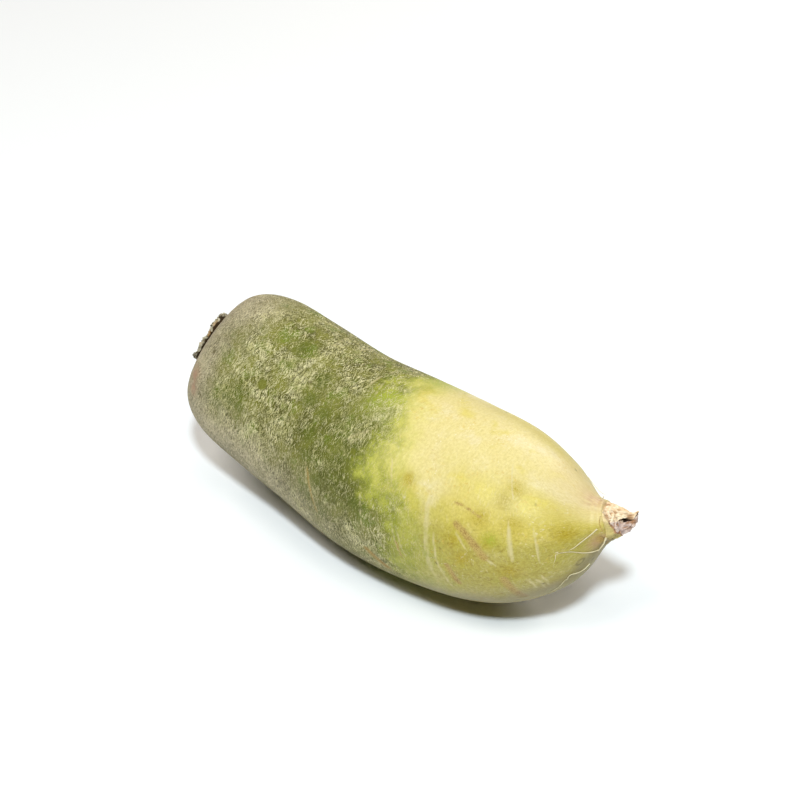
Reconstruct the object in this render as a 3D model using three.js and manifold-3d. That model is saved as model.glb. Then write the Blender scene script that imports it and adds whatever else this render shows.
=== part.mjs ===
// A green-shouldered daikon radish, lying on its side as it was lifted and trimmed.
// Millimetres, +Z up. +X runs along the chord from the leafy crown end to the root tip.
// The origin is under the middle of the object's box, on the surface that it lies on.
//
// Two pieces: the root, which grew as one body from shoulder to dried tip, and the ring of
// dried leaf-stalk bases left on its crown where the leaves were cut away.

import * as THREE from "three";
import { mergeVertices } from "three/addons/utils/BufferGeometryUtils.js";
import Module from "manifold-3d";

// ---------------------------------------------------------------- driving dimensions

// The root's centre line is one gentle Bezier bow from crown to neck.
const SPINE = new THREE.CubicBezierCurve3(
  new THREE.Vector3(-98.9, 5.3, 55.2), // middle of the crown
  new THREE.Vector3(-62.4, 11.2, 40.5),
  new THREE.Vector3(40.8, -14.2, 26.4),
  new THREE.Vector3(97.7, 5.3, 55.7), // middle of the neck, where the dried tip starts
);
SPINE.arcLengthDivisions = 400;

// Radius at eleven stations. They stand a half cosine apart, close together at both ends,
// which rounds the shoulder and the tail off like the ends of an ellipse.
const GIRTH = [14.2, 26.9, 34.1, 36.0, 36.7, 39.4, 38.9, 35.2, 24.9, 10.6, 7.0];

// The skin isn't quite round: broad swellings, as a share of the radius.
// Each turns `lobes` times round the girth and `waves` times along the root.
const SWELLINGS = [
  { share: 0.006, lobes: 2, waves: 0.5, phase: 0.9 },
  { share: 0.005, lobes: 3, waves: -0.8, phase: 2.4 },
  { share: 0.004, lobes: 1, waves: 2.6, phase: 4.1 },
];

// A fuller belly on the underside, which the root lies on.
const BELLY = { share: 0.085, along: 0.36, spread: 0.13, focus: 3 };

const RINGS = 58; // sections along the root
const SIDES = 64; // points round each section

const SEAT = { radius: 13.0, depth: 1.2, sides: 48 }; // shallow dish in the crown
const GAP = 0.3; // clearance between the stalk bases and the dish

const STALK_PLATE = { bottomRadius: 12.6, topRadius: 12.4, thickness: 1.9, sides: 48 };
// The cut stalk bases stand on a spiral, a golden angle apart, as the leaves grew.
// The first is the outermost. Sizes are given for it, and `inner...` for the last one.
const STALKS = { count: 15, divergence: 137.5, radius: 11.4, innerShare: 0.94 };
const STALK_WIDTH = 11.6; // round the spiral, from edge to edge
const STALK_SPREAD_MOST = 118; // degrees, on the tight inner bases
const STALK_THICK = { middle: 1.7, innerMiddle: 1.3, edge: 0.8 };
const STALK_HEIGHT = { outer: 3.2, inner: 2.6, uneven: 0.5 };
const STALK_LEAN = 1.3; // how far the outermost tops lean out
const STALK_SINK = 0.9; // how far each base runs down into the plate
const STALK_ARC_STEPS = 6;
const BUD = { radius: 1.8, height: 2.6, sides: 12 };

// The dried tip: a shrivelled cone that splits into two lobes with a cleft between them.
// Each row is [forward, up-the-cleft, across, radius] from the neck's middle.
const TIP_CONE = [
  [-6.0, -0.3, 0.0, 6.2],
  [-1.5, -0.5, 0.0, 7.0],
  [0.4, -0.5, 0.0, 7.0],
  [2.0, -0.6, 0.1, 6.5],
  [3.6, -0.7, 0.0, 5.5],
  [5.0, -0.8, 0.0, 4.0],
];
const TIP_LOBE_UP = [
  [0.0, 2.7, 0.2, 3.8],
  [2.6, 2.1, 0.3, 3.4],
  [5.3, 1.4, 0.1, 2.8],
  [7.6, 0.7, -0.2, 2.2],
  [9.7, 0.3, -0.3, 1.6],
  [11.3, 0.8, -0.2, 0.9],
  [12.2, 1.4, -0.1, 0.5],
];
const TIP_LOBE_DOWN = [
  [-1.0, -4.2, -0.2, 3.2],
  [1.5, -4.0, -0.3, 3.0],
  [4.3, -3.6, -0.3, 2.7],
  [6.9, -3.1, 0.0, 2.4],
  [9.1, -2.4, 0.2, 1.8],
  [10.6, -1.5, 0.2, 1.3],
  [11.5, -0.5, 0.1, 0.8],
  [12.0, 0.3, 0.0, 0.5],
];
const TIP_ROLL = 37; // degrees that the cleft's up leans away from straight up
const TIP_SIDES = 14;
const TIP_FLUTES = { share: 0.07, count: 5 }; // shrivelled lengthwise folds

const SKIN = { color: 0xa9ae62, roughness: 0.5, metalness: 0 };
const DRY_STALK = { color: 0x9a8d72, roughness: 0.9, metalness: 0 };

// ---------------------------------------------------------------- small helpers

const radians = THREE.MathUtils.degToRad;

// A repeatable number from 0 to 1 for a pair of whole numbers.
function scatter(i, k) {
  const n = Math.sin(i * 12.9898 + k * 78.233) * 43758.5453;
  return n - Math.floor(n);
}

// The direction along a curve, the way up across it and the way to its right.
function frameAlong(tangent) {
  const forward = tangent.clone().normalize();
  const right = new THREE.Vector3().crossVectors(forward, new THREE.Vector3(0, 0, 1)).normalize();
  const up = new THREE.Vector3().crossVectors(right, forward);
  return { forward, up, right };
}

// A closed skin over rings of points. The rings follow one another forwards, and each turns
// by the right-hand rule about that direction. A fan of triangles closes each end.
function skinOver(rings) {
  const sides = rings[0].length;
  const points = rings.flat();
  const middleOf = (ring) =>
    ring.reduce((sum, p) => sum.add(p), new THREE.Vector3()).divideScalar(sides);
  const start = points.push(middleOf(rings[0])) - 1;
  const end = points.push(middleOf(rings.at(-1))) - 1;
  const faces = [];
  for (let j = 0; j < sides; j++) {
    const next = (j + 1) % sides;
    const last = (rings.length - 1) * sides;
    faces.push(start, next, j);
    faces.push(end, last + j, last + next);
    for (let i = 0; i < rings.length - 1; i++) {
      const here = i * sides;
      const ahead = here + sides;
      faces.push(here + j, here + next, ahead + j);
      faces.push(here + next, ahead + next, ahead + j);
    }
  }
  const geometry = new THREE.BufferGeometry().setFromPoints(points);
  geometry.setIndex(faces);
  return geometry;
}

// ---------------------------------------------------------------- joining and cutting

const wasm = await Module();
wasm.setup();

function solidFrom(geometry) {
  const bare = geometry.clone();
  bare.deleteAttribute("normal");
  bare.deleteAttribute("uv");
  const merged = mergeVertices(bare, 1e-4);
  return new wasm.Manifold(
    new wasm.Mesh({
      numProp: 3,
      vertProperties: merged.attributes.position.array,
      triVerts: new Uint32Array(merged.index.array),
    }),
  );
}

function geometryFrom(solid) {
  const mesh = solid.getMesh();
  const geometry = new THREE.BufferGeometry();
  geometry.setAttribute("position", new THREE.BufferAttribute(mesh.vertProperties, 3));
  geometry.setIndex(new THREE.BufferAttribute(mesh.triVerts, 1));
  geometry.computeVertexNormals();
  return geometry;
}

const joined = (solids) => solids.reduce((whole, solid) => whole.add(solid));

// ---------------------------------------------------------------- the root

// Radius at u, which goes from 0 at the crown to 1 at the neck in half-cosine steps.
// A cubic runs smoothly through the four nearest stations.
function radiusAt(u) {
  const last = GIRTH.length - 1;
  const station = (k) => {
    if (k < 0) return 2 * GIRTH[0] - GIRTH[1];
    if (k > last) return 2 * GIRTH[last] - GIRTH[last - 1];
    return GIRTH[k];
  };
  const k = Math.min(Math.floor(u * last), last - 1);
  const f = u * last - k;
  const [a, b, c, d] = [k - 1, k, k + 1, k + 2].map(station);
  return b + 0.5 * f * (c - a + f * (2 * a - 5 * b + 4 * c - d + f * (3 * (b - c) + d - a)));
}

// How far the skin swells or sinks at a place, as a share of the radius.
// It fades out at the crown and at the neck, so the stalk bases and the tip fit.
function swellingAt(along, angle) {
  const fade = Math.min(1, 12 * Math.min(along, 1 - along));
  const downwards = Math.max(0, -Math.cos(angle)) ** BELLY.focus;
  const belly = BELLY.share * downwards * Math.exp(-(((along - BELLY.along) / BELLY.spread) ** 2));
  const broad = SWELLINGS.reduce(
    (sum, s) => sum + s.share * Math.sin(s.lobes * angle + 2 * Math.PI * s.waves * along + s.phase),
    0,
  );
  return fade * (belly + broad);
}

// One section: the angle starts at the top and turns to the right, looking from the crown
// to the tip. Nothing reaches below the surface: the underside is flat where it rests.
function sectionAt(u) {
  const along = (1 - Math.cos(Math.PI * u)) / 2;
  const middle = SPINE.getPointAt(along);
  const { up, right } = frameAlong(SPINE.getTangentAt(along));
  return Array.from({ length: SIDES }, (_, j) => {
    const angle = (2 * Math.PI * j) / SIDES;
    const radius = radiusAt(u) * (1 + swellingAt(along, angle));
    const point = middle
      .clone()
      .addScaledVector(up, radius * Math.cos(angle))
      .addScaledVector(right, radius * Math.sin(angle));
    point.z = Math.max(point.z, 0);
    return point;
  });
}

function rootBody() {
  const sections = Array.from({ length: RINGS + 1 }, (_, i) => sectionAt(i / RINGS));
  return solidFrom(skinOver(sections));
}

// The dish in the crown, as a short plug that stands out of it: +Z is out of the crown.
function crownFrame() {
  const frame = new THREE.Object3D();
  const out = SPINE.getTangentAt(0).negate();
  frame.position.copy(SPINE.getPointAt(0));
  frame.quaternion.setFromUnitVectors(new THREE.Vector3(0, 0, 1), out);
  frame.updateMatrix();
  return frame;
}

function crownDish() {
  const proud = 2;
  const plug = new THREE.CylinderGeometry(SEAT.radius, SEAT.radius, SEAT.depth + proud, SEAT.sides);
  plug.rotateX(Math.PI / 2);
  plug.translate(0, 0, (proud - SEAT.depth) / 2);
  plug.applyMatrix4(crownFrame().matrix);
  return solidFrom(plug);
}

// ---------------------------------------------------------------- the dried tip

// Sweeps a shrivelled round section along rows of [forward, up, across, radius].
function tipPiece(rows, flutePhase) {
  const neck = SPINE.getPointAt(1);
  const { forward, up, right } = frameAlong(SPINE.getTangentAt(1));
  const cleftUp = up.clone().applyAxisAngle(forward, -radians(TIP_ROLL));
  const across = new THREE.Vector3().crossVectors(forward, cleftUp);
  const place = ([f, u, a]) =>
    neck.clone().addScaledVector(forward, f).addScaledVector(cleftUp, u).addScaledVector(across, a);
  const path = new THREE.CatmullRomCurve3(rows.map(place), false, "centripetal");
  const rings = rows.map(([, , , radius], i) => {
    const t = i / (rows.length - 1);
    const middle = path.getPoint(t);
    const bend = frameAlong(path.getTangent(t));
    return Array.from({ length: TIP_SIDES }, (_, j) => {
      const angle = (2 * Math.PI * j) / TIP_SIDES;
      const fluted = radius * (1 + TIP_FLUTES.share * Math.cos(TIP_FLUTES.count * angle + flutePhase));
      return middle
        .clone()
        .addScaledVector(bend.up, fluted * Math.cos(angle))
        .addScaledVector(bend.right, fluted * Math.sin(angle));
    });
  });
  return solidFrom(skinOver(rings));
}

function radishRoot() {
  const grown = joined([
    rootBody(),
    tipPiece(TIP_CONE, 0.4),
    tipPiece(TIP_LOBE_UP, 1.7),
    tipPiece(TIP_LOBE_DOWN, 3.0),
  ]);
  const mesh = new THREE.Mesh(
    geometryFrom(grown.subtract(crownDish())),
    new THREE.MeshStandardMaterial(SKIN),
  );
  mesh.name = "radish_root";
  return mesh;
}

// ---------------------------------------------------------------- the cut stalk bases

// One crescent-shaped base. It is thick in the middle and thin at its edges, leans
// outwards and ends in an uneven cut. +Z is out of the crown.
function stalkBase(k) {
  const inward = k / (STALKS.count - 1); // from 0 on the outermost to 1 on the innermost
  const { lerp } = THREE.MathUtils;
  const radius = STALKS.radius * Math.sqrt(1 - STALKS.innerShare * inward);
  const facing = radians(STALKS.divergence * k + 8 * (scatter(1, k) - 0.5));
  const half = Math.min(STALK_WIDTH / radius, radians(STALK_SPREAD_MOST)) / 2;
  const middleThick = lerp(STALK_THICK.middle, STALK_THICK.innerMiddle, inward);
  const height = lerp(STALK_HEIGHT.outer, STALK_HEIGHT.inner, inward);
  const foot = STALK_PLATE.thickness - STALK_SINK;
  const rings = [0, 0.5, 1].map((level) => {
    const wall = Array.from({ length: STALK_ARC_STEPS + 1 }, (_, i) => {
      const across = (2 * i) / STALK_ARC_STEPS - 1; // from -1 at one edge to 1 at the other
      const bulge = 1 - across * across;
      const uneven = 1 + STALK_HEIGHT.uneven * (scatter(k + 2, i) - 0.5);
      const z = foot + (STALK_SINK + height * uneven * (0.82 + 0.18 * bulge)) * level;
      const thick = STALK_THICK.edge + (middleThick - STALK_THICK.edge) * bulge * (1 - level);
      const out = radius + 0.3 * (bulge - 1) + STALK_LEAN * (1 - inward) * level * level;
      return { angle: facing + half * across, z, inner: out - thick / 2, outer: out + thick / 2 };
    });
    const corner = (r, { angle, z }) =>
      new THREE.Vector3(r * Math.cos(angle), r * Math.sin(angle), z);
    return [
      ...wall.map((w) => corner(w.outer, w)),
      ...wall.map((w) => corner(w.inner, w)).reverse(),
    ];
  });
  return solidFrom(skinOver(rings));
}

function leafStalkStubs() {
  const plate = new THREE.CylinderGeometry(
    STALK_PLATE.topRadius,
    STALK_PLATE.bottomRadius,
    STALK_PLATE.thickness,
    STALK_PLATE.sides,
  );
  plate.rotateX(Math.PI / 2);
  plate.translate(0, 0, STALK_PLATE.thickness / 2);
  const bud = new THREE.ConeGeometry(BUD.radius, BUD.height + STALK_SINK, BUD.sides);
  bud.rotateX(Math.PI / 2);
  bud.translate(0, 0, STALK_PLATE.thickness + (BUD.height - STALK_SINK) / 2);
  const bases = Array.from({ length: STALKS.count }, (_, k) => stalkBase(k));
  const mesh = new THREE.Mesh(
    geometryFrom(joined([solidFrom(plate), solidFrom(bud), ...bases])),
    new THREE.MeshStandardMaterial(DRY_STALK),
  );
  mesh.name = "leaf_stalk_stubs";
  mesh.position.z = GAP - SEAT.depth; // on the dish's floor, a hair clear of it
  const crown = new THREE.Group();
  crown.position.copy(crownFrame().position);
  crown.quaternion.copy(crownFrame().quaternion);
  crown.add(mesh);
  return crown;
}

// ---------------------------------------------------------------- the whole radish

const radish = new THREE.Group();
radish.add(radishRoot(), leafStalkStubs());

// The middle of the box goes over the origin.
const box = new THREE.Box3().setFromObject(radish, true);
radish.position.set(-(box.min.x + box.max.x) / 2, -(box.min.y + box.max.y) / 2, 0);

export default radish;
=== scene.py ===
# %% [markdown]
# # A green-shouldered daikon radish
# A whole root lies on its side, as it was lifted from the soil: a netted, olive-green
# shoulder, a smooth yellow-green belly, a wrinkled neck that ends in a dried, forked tip, and
# a ring of cut leaf-stalk bases on the crown. The solid model gives every piece its place and
# its size. This notebook rebuilds each one as a fine mesh on the same measures and gives it
# its finish.

# %% Load the solid model
import math
import random

import bpy
import numpy as np
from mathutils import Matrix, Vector, noise


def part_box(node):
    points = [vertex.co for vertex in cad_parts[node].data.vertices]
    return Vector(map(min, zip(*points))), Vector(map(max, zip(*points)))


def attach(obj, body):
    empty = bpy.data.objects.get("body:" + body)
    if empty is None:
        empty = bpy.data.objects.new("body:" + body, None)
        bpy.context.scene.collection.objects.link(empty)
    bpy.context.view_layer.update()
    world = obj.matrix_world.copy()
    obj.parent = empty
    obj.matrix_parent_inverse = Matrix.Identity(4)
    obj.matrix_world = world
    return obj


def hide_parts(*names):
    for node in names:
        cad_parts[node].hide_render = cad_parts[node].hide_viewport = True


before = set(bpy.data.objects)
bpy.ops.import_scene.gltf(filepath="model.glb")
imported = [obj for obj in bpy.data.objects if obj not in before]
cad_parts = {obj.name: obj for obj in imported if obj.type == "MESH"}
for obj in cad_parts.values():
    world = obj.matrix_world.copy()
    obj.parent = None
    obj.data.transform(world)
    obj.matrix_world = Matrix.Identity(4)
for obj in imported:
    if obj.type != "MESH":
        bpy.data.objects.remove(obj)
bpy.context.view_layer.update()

MM = 0.001  # every measure below is in millimetres and turned to metres with this

# %% [markdown]
# ## Measures of the root
# These are the driving measures of the solid model, in millimetres. The centre line is one
# Bezier bow. Eleven radii, standing a half cosine apart, give the outline: a blunt shoulder, a
# belly that is thickest past the middle, and a tail that draws in to the neck. A few broad
# swellings keep the skin from looking turned on a lathe.

# %% Measures of the root
SPINE = np.array([[-98.9, 5.3, 55.2], [-62.4, 11.2, 40.5], [40.8, -14.2, 26.4], [97.7, 5.3, 55.7]])
GIRTH = [14.2, 26.9, 34.1, 36.0, 36.7, 39.4, 38.9, 35.2, 24.9, 10.6, 7.0]
# share of the radius, lobes round the girth, waves along the root, phase
SWELLINGS = [(0.006, 2, 0.5, 0.9), (0.005, 3, -0.8, 2.4), (0.004, 1, 2.6, 4.1)]
SWELLING_FADE = 12  # the swellings fade out over one part in twelve at either end
# the belly: share of the radius, where along the root, how long, how closely it keeps below
BELLY_SHARE, BELLY_ALONG, BELLY_SPREAD, BELLY_FOCUS = 0.085, 0.36, 0.13, 3
SEAT_RADIUS, SEAT_DEPTH = 13.0, 1.2  # the dish in the crown, which the leaf stalks sit in
print(len(GIRTH), "radii, from", min(GIRTH), "to", max(GIRTH), "mm")

# %% [markdown]
# Every place on the root is given by two numbers: a share of its length and an angle from the
# top. The share comes first. A Bezier curve runs faster where its handles are long, so its
# length is added up once in small steps, and a share is looked up in that list. NumPy works
# on whole lists of numbers at once, so the same function serves one mark or a hundred
# thousand grid points.

# %% Along the centre line
def bezier(t):
    """Points of the centre line at t, from 0 at the crown to 1 at the neck."""
    t = np.atleast_1d(t)[:, None]
    a, b, c, d = SPINE
    return (1 - t) ** 3 * a + 3 * t * (1 - t) ** 2 * b + 3 * t * t * (1 - t) * c + t**3 * d


CURVE_STEPS, NUDGE = 2000, 1e-4
STEPS = np.linspace(0, 1, CURVE_STEPS + 1)
RUN = np.concatenate([[0], np.cumsum(np.linalg.norm(np.diff(bezier(STEPS), axis=0), axis=1))])
SPINE_LENGTH = RUN[-1]
print(f"centre line {SPINE_LENGTH:.1f} mm, thickest {2 * max(GIRTH):.1f} mm")


def spine_at(along):
    """Centre-line points and directions at shares of its length."""
    t = np.interp(np.atleast_1d(along), RUN / SPINE_LENGTH, STEPS)
    forward = bezier(np.clip(t + NUDGE, 0, 1)) - bezier(np.clip(t - NUDGE, 0, 1))
    return bezier(t), forward / np.linalg.norm(forward, axis=1)[:, None]


def across_frame(forward):
    """The way up and the way to the right, across a direction."""
    right = np.cross(forward, [0.0, 0.0, 1.0])
    right /= np.linalg.norm(right, axis=-1, keepdims=True)
    return np.cross(right, forward), right


# %% [markdown]
# The angle comes next: how far the skin stands off the centre line in that direction. It is
# the outline's radius, a cubic through the stations, times the broad swellings, and the belly
# is cut off flat where it would sink below the table.

# %% From a share and an angle to a place on the skin
def curve_through(a, b, c, d, f):
    """A cubic from b to c as f goes from 0 to 1, with a before b and d after c."""
    return b + 0.5 * f * (c - a + f * (2 * a - 5 * b + 4 * c - d + f * (3 * (b - c) + d - a)))


def radius_at(along):
    """Radius of the outline, by a cubic through the four nearest stations."""
    stations = np.array([2 * GIRTH[0] - GIRTH[1], *GIRTH, 2 * GIRTH[-1] - GIRTH[-2]])
    u = np.arccos(1 - 2 * np.clip(along, 0, 1)) / math.pi * (len(GIRTH) - 1)
    k = np.minimum(u.astype(int), len(GIRTH) - 2)
    return curve_through(*(stations[k + i] for i in range(4)), u - k)


def hump(value, middle, spread):
    """1 at the middle, dropping smoothly to 0 on both sides."""
    return np.exp(-(((value - middle) / spread) ** 2))


def swelling_at(along, angle):
    """Broad swelling of the skin, as a share of the radius."""
    fade = np.minimum(1, SWELLING_FADE * np.minimum(along, 1 - along))
    down = np.maximum(0, -np.cos(angle)) ** BELLY_FOCUS
    total = BELLY_SHARE * down * hump(along, BELLY_ALONG, BELLY_SPREAD)
    for share, lobes, waves, phase in SWELLINGS:
        total = total + share * np.sin(lobes * angle + 2 * math.pi * waves * along + phase)
    return fade * total


def skin_point(along, angle, lift=0.0):
    """A place on the skin, in millimetres, raised by lift."""
    along, angle = np.atleast_1d(along).astype(float), np.atleast_1d(angle).astype(float)
    middle, forward = spine_at(along)
    up, right = across_frame(forward)
    radius = radius_at(along) * (1 + swelling_at(along, angle)) + lift
    point = middle + radius[:, None] * (np.cos(angle)[:, None] * up + np.sin(angle)[:, None] * right)
    point[:, 2] = np.maximum(point[:, 2], 0)
    return point


print("half way along, the top of the skin is at", skin_point(0.5, 0.0)[0].round(1), "mm")

# %% [markdown]
# The solid model stands with the middle of its box over the origin. That moved everything
# by a fraction of a millimetre, which is read off the root's widest places here.

# %% Where the solid model stands
turns = np.radians(np.arange(0, 360, 2))
outline = np.concatenate([skin_point(np.full(turns.size, s), turns) for s in np.linspace(0, 1, 400)])
root_box = np.array(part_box("radish_root")) / MM
SHIFT = np.array([root_box[0][0] - outline[:, 0].min(),
                  (root_box[0][1] + root_box[1][1] - outline[:, 1].min() - outline[:, 1].max()) / 2,
                  0.0])
SPINE = SPINE + SHIFT
print("moved by", SHIFT.round(3), "mm")

# %% [markdown]
# ## A short hand for node trees
# Shader trees and Geometry Nodes trees are wired the same way, so one small helper serves
# both. `put` adds a node, sets its options and its inputs, and links any input that is given
# another node's socket. The rest are one-line names for the nodes that come up most.

# %% A short hand for node trees
class Wiring:
    def __init__(self, tree):
        self.tree = tree

    def put(self, kind, inputs=None, **options):
        node = self.tree.nodes.new(kind)
        for name, value in options.items():
            setattr(node, name, value)
        for name, value in (inputs or {}).items():
            if isinstance(value, bpy.types.NodeSocket):
                self.tree.links.new(value, node.inputs[name])
            else:
                node.inputs[name].default_value = value
        return node

    def math(self, operation, a, b=0.0, c=0.0):
        return self.put("ShaderNodeMath", {0: a, 1: b, 2: c}, operation=operation).outputs[0]

    def plus(self, a, b):
        return self.math("ADD", a, b)

    def less(self, a, b):
        return self.math("SUBTRACT", a, b)

    def times(self, a, b):
        return self.math("MULTIPLY", a, b)

    def most(self, a, b):
        return self.math("MAXIMUM", a, b)

    def vector(self, operation, a, b=(0, 0, 0)):
        return self.put("ShaderNodeVectorMath", {0: a, 1: b}, operation=operation).outputs["Vector"]

    def scaled(self, a, factor):
        return self.put("ShaderNodeVectorMath", {0: a, "Scale": factor}, operation="SCALE").outputs[0]

    def xyz(self, a):
        return self.put("ShaderNodeSeparateXYZ", {0: a}).outputs

    def join_xyz(self, x, y, z):
        return self.put("ShaderNodeCombineXYZ", {0: x, 1: y, 2: z}).outputs[0]

    def noise(self, place, scale, detail=3.0, rough=0.5):
        """Noise from 0 to 1 whose scale is in cycles per metre."""
        inputs = {"Vector": place, "Scale": scale, "Detail": detail, "Roughness": rough}
        return self.put("ShaderNodeTexNoise", inputs).outputs[0]

    def step(self, value, low, high, to_low=0.0, to_high=1.0):
        """A smooth step from to_low to to_high as value goes from low to high."""
        inputs = {0: value, 1: low, 2: high, 3: to_low, 4: to_high}
        return self.put("ShaderNodeMapRange", inputs, interpolation_type="SMOOTHSTEP").outputs[0]

    def mix(self, share, a, b, how="MIX"):
        inputs = {0: share, 6: a, 7: b}
        return self.put("ShaderNodeMix", inputs, data_type="RGBA", blend_type=how).outputs[2]

    def fade(self, value, low, high, a, b):
        """Paint a where value is below low, paint b above high, and a smooth change between."""
        return self.mix(self.step(value, low, high), a, b)

    def trait(self, name, output="Fac"):
        """A value stored on the mesh."""
        return self.put("ShaderNodeAttribute", attribute_name=name).outputs[output]

    def own_place(self):
        """A point's place in its piece's own space, in metres."""
        return self.put("ShaderNodeTexCoord").outputs["Object"]


# %% [markdown]
# Each finish is one Principled shader. Plain numbers, the same all over a piece, are set on
# the shader itself; the colour and a small bump come in from the wiring.

# %% A short hand for finishes
def paint(red, green, blue):
    return (red, green, blue, 1.0)


def new_finish(name, **plain):
    """A material with one Principled shader, the helper that wires it, and the shader."""
    finish = bpy.data.materials.new(name)
    finish.use_nodes = True
    shader = finish.node_tree.nodes["Principled BSDF"]
    for setting, value in plain.items():
        shader.inputs[setting.replace("_", " ")].default_value = value
    return finish, Wiring(finish.node_tree), shader


def wire_up(wires, shader, colour, height=None, strength=0.0, depth=0.0):
    """Leads a colour to a shader, and a bump of a depth in metres where a height is given."""
    wires.tree.links.new(colour, shader.inputs["Base Color"])
    if height is not None:
        bump = wires.put("ShaderNodeBump", {"Strength": strength, "Distance": depth, "Height": height})
        wires.tree.links.new(bump.outputs[0], shader.inputs["Normal"])


# %% [markdown]
# ## Marks on the skin
# A real root is a record of its summer: corky bands where growth paused, scrapes from stones,
# healed bites, pores where side roots left. Each mark is a path of places on the skin, given
# as (share of the length, degrees from the top towards the right). A list is the right tool:
# no rule says where a stone lay.

# %% Marks on the near side
# path, width in mm, how far it stands up in mm
CORK_BANDS = [
    ([(0.699, 38), (0.709, 54), (0.715, 66), (0.718, 82), (0.721, 93), (0.731, 112)], 1.5, 0.14),
    ([(0.729, 64), (0.734, 80), (0.738, 92), (0.747, 102), (0.757, 118)], 0.6, 0.08),
    ([(0.863, 54), (0.866, 72), (0.867, 88)], 1.2, 0.12),
    ([(0.902, 57), (0.906, 74), (0.905, 91)], 0.6, 0.08),
    ([(0.770, 66), (0.783, 72), (0.794, 78)], 0.6, 0.08),
    ([(0.823, 82), (0.839, 88)], 0.7, 0.08),
    ([(0.640, 72), (0.655, 88), (0.664, 98)], 0.5, 0.10),
    ([(0.652, 74), (0.667, 90), (0.678, 97)], 0.5, 0.10),
    ([(0.426, 72), (0.440, 82), (0.455, 90), (0.467, 98)], 0.7, 0.14),
    ([(0.412, 66), (0.424, 76), (0.430, 84)], 0.5, 0.10),
    ([(0.530, 31), (0.508, 36), (0.484, 44)], 1.0, 0.10),
    ([(0.527, 34), (0.512, 38.5), (0.498, 44)], 0.5, 0.06),
    ([(0.600, 38), (0.612, 45), (0.625, 54)], 0.6, 0.06),
    ([(0.560, 62), (0.572, 76), (0.580, 90)], 0.5, 0.06),
    ([(0.878, 104), (0.884, 113), (0.882, 122)], 0.6, 0.08),
    ([(0.889, 106), (0.895, 114), (0.893, 126)], 0.6, 0.08),
    ([(0.900, 104), (0.902, 113), (0.900, 124)], 0.5, 0.06),
]
# path, width in mm, depth in mm
SCARS = [
    ([(0.774, 63), (0.794, 68.5), (0.810, 75), (0.823, 82)], 2.4, 0.20),
    ([(0.846, 101), (0.851, 112), (0.856, 128)], 2.2, 0.25),
    ([(0.756, 92), (0.769, 106)], 1.8, 0.20),
    ([(0.763, 50), (0.789, 51.5), (0.817, 55.5)], 0.6, 0.08),
    ([(0.585, 104), (0.600, 109), (0.620, 115)], 2.4, 0.20),
    ([(0.422, 71), (0.445, 86), (0.462, 97)], 0.6, 0.25),
    ([(0.655, 86), (0.664, 96)], 0.7, 0.15),
    ([(0.986, 101), (0.992, 116), (0.988, 130)], 2.2, 0.25),
    ([(0.985, 92), (0.990, 101), (0.994, 119)], 0.5, 0.15),
    ([(0.997, 82), (0.994, 60), (0.998, 40)], 0.4, 0.10),
]
# place, radius in mm, depth in mm
PORES = [
    ((0.325, 25), 0.8, 0.15), ((0.067, 48), 1.1, 0.20), ((0.093, 81), 0.7, 0.15),
    ((0.025, 341), 1.0, 0.20), ((0.746, 81), 0.4, 0.08), ((0.736, 92), 0.4, 0.08),
    ((0.848, 74), 0.35, 0.08), ((0.902, 38), 0.35, 0.06), ((0.932, 325), 0.45, 0.15),
    ((0.896, 117), 0.45, 0.10), ((0.893, 138), 0.45, 0.10),
]
# place, radius in mm: ring-shaped breathing pores that stay open
LENTICELS = [((0.950, 118), 1.1), ((0.640, 205), 1.2), ((0.330, 250), 1.2)]
print(len(CORK_BANDS), "cork bands,", len(SCARS), "scars,", len(PORES), "pores on the near side")

# %% [markdown]
# Some marks are only colour: lime, dark, golden and pink patches with soft edges, and spots
# where the net was rubbed off.

# %% Patches of colour
# place, radius in mm
PATCHES = {
    "lime": [((0.508, 11), 8.0), ((0.835, 69), 2.6), ((0.545, 330), 8.0), ((0.480, 200), 10.0),
             ((0.560, 150), 9.0), ((0.50, 265), 9.0)],
    "dark": [((0.165, 64), 5.0), ((0.190, 58), 4.5), ((0.140, 70), 4.5), ((0.205, 66), 3.5),
             ((0.115, 76), 4.0), ((0.150, 75), 3.0), ((0.180, 67), 4.0), ((0.345, 20), 4.5),
             ((0.353, 34), 4.5), ((0.404, 38), 4.5), ((0.397, 52), 4.5), ((0.412, 65), 4.0),
             ((0.453, 75), 4.0), ((0.514, 45), 3.0), ((0.559, 74), 5.0), ((0.430, 89), 5.0),
             ((0.478, 92), 4.5), ((0.250, 8), 5.0), ((0.300, 300), 7.0), ((0.400, 230), 8.0),
             ((0.200, 160), 7.0)],
    "gold": [((0.768, 73), 3.6), ((0.786, 84), 3.6), ((0.859, 94), 3.6), ((0.813, 56), 3.6),
             ((0.863, 30), 3.4), ((0.851, 41), 4.0), ((0.945, 66), 4.0), ((0.870, 56), 3.4),
             ((0.831, 71), 3.0), ((0.900, 122), 2.6), ((0.655, 47), 3.0), ((0.700, 290), 5.0),
             ((0.850, 240), 6.0), ((0.780, 180), 5.0)],
    "pink": [((0.046, 75), 4.0), ((0.060, 84), 3.0), ((0.985, 352), 4.0), ((0.986, 105), 3.4),
             ((0.090, 290), 3.0)],
    "rubbed": [((0.233, 44), 2.5), ((0.515, 47), 1.4), ((0.300, 200), 2.2)],
}
print({name: len(spots) for name, spots in PATCHES.items()}, "patches")

# %% [markdown]
# The marks on the far side are drawn by a die, so that the root is finished all the way
# round. The die has a fixed seed, so it falls the same way at every run.

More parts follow.
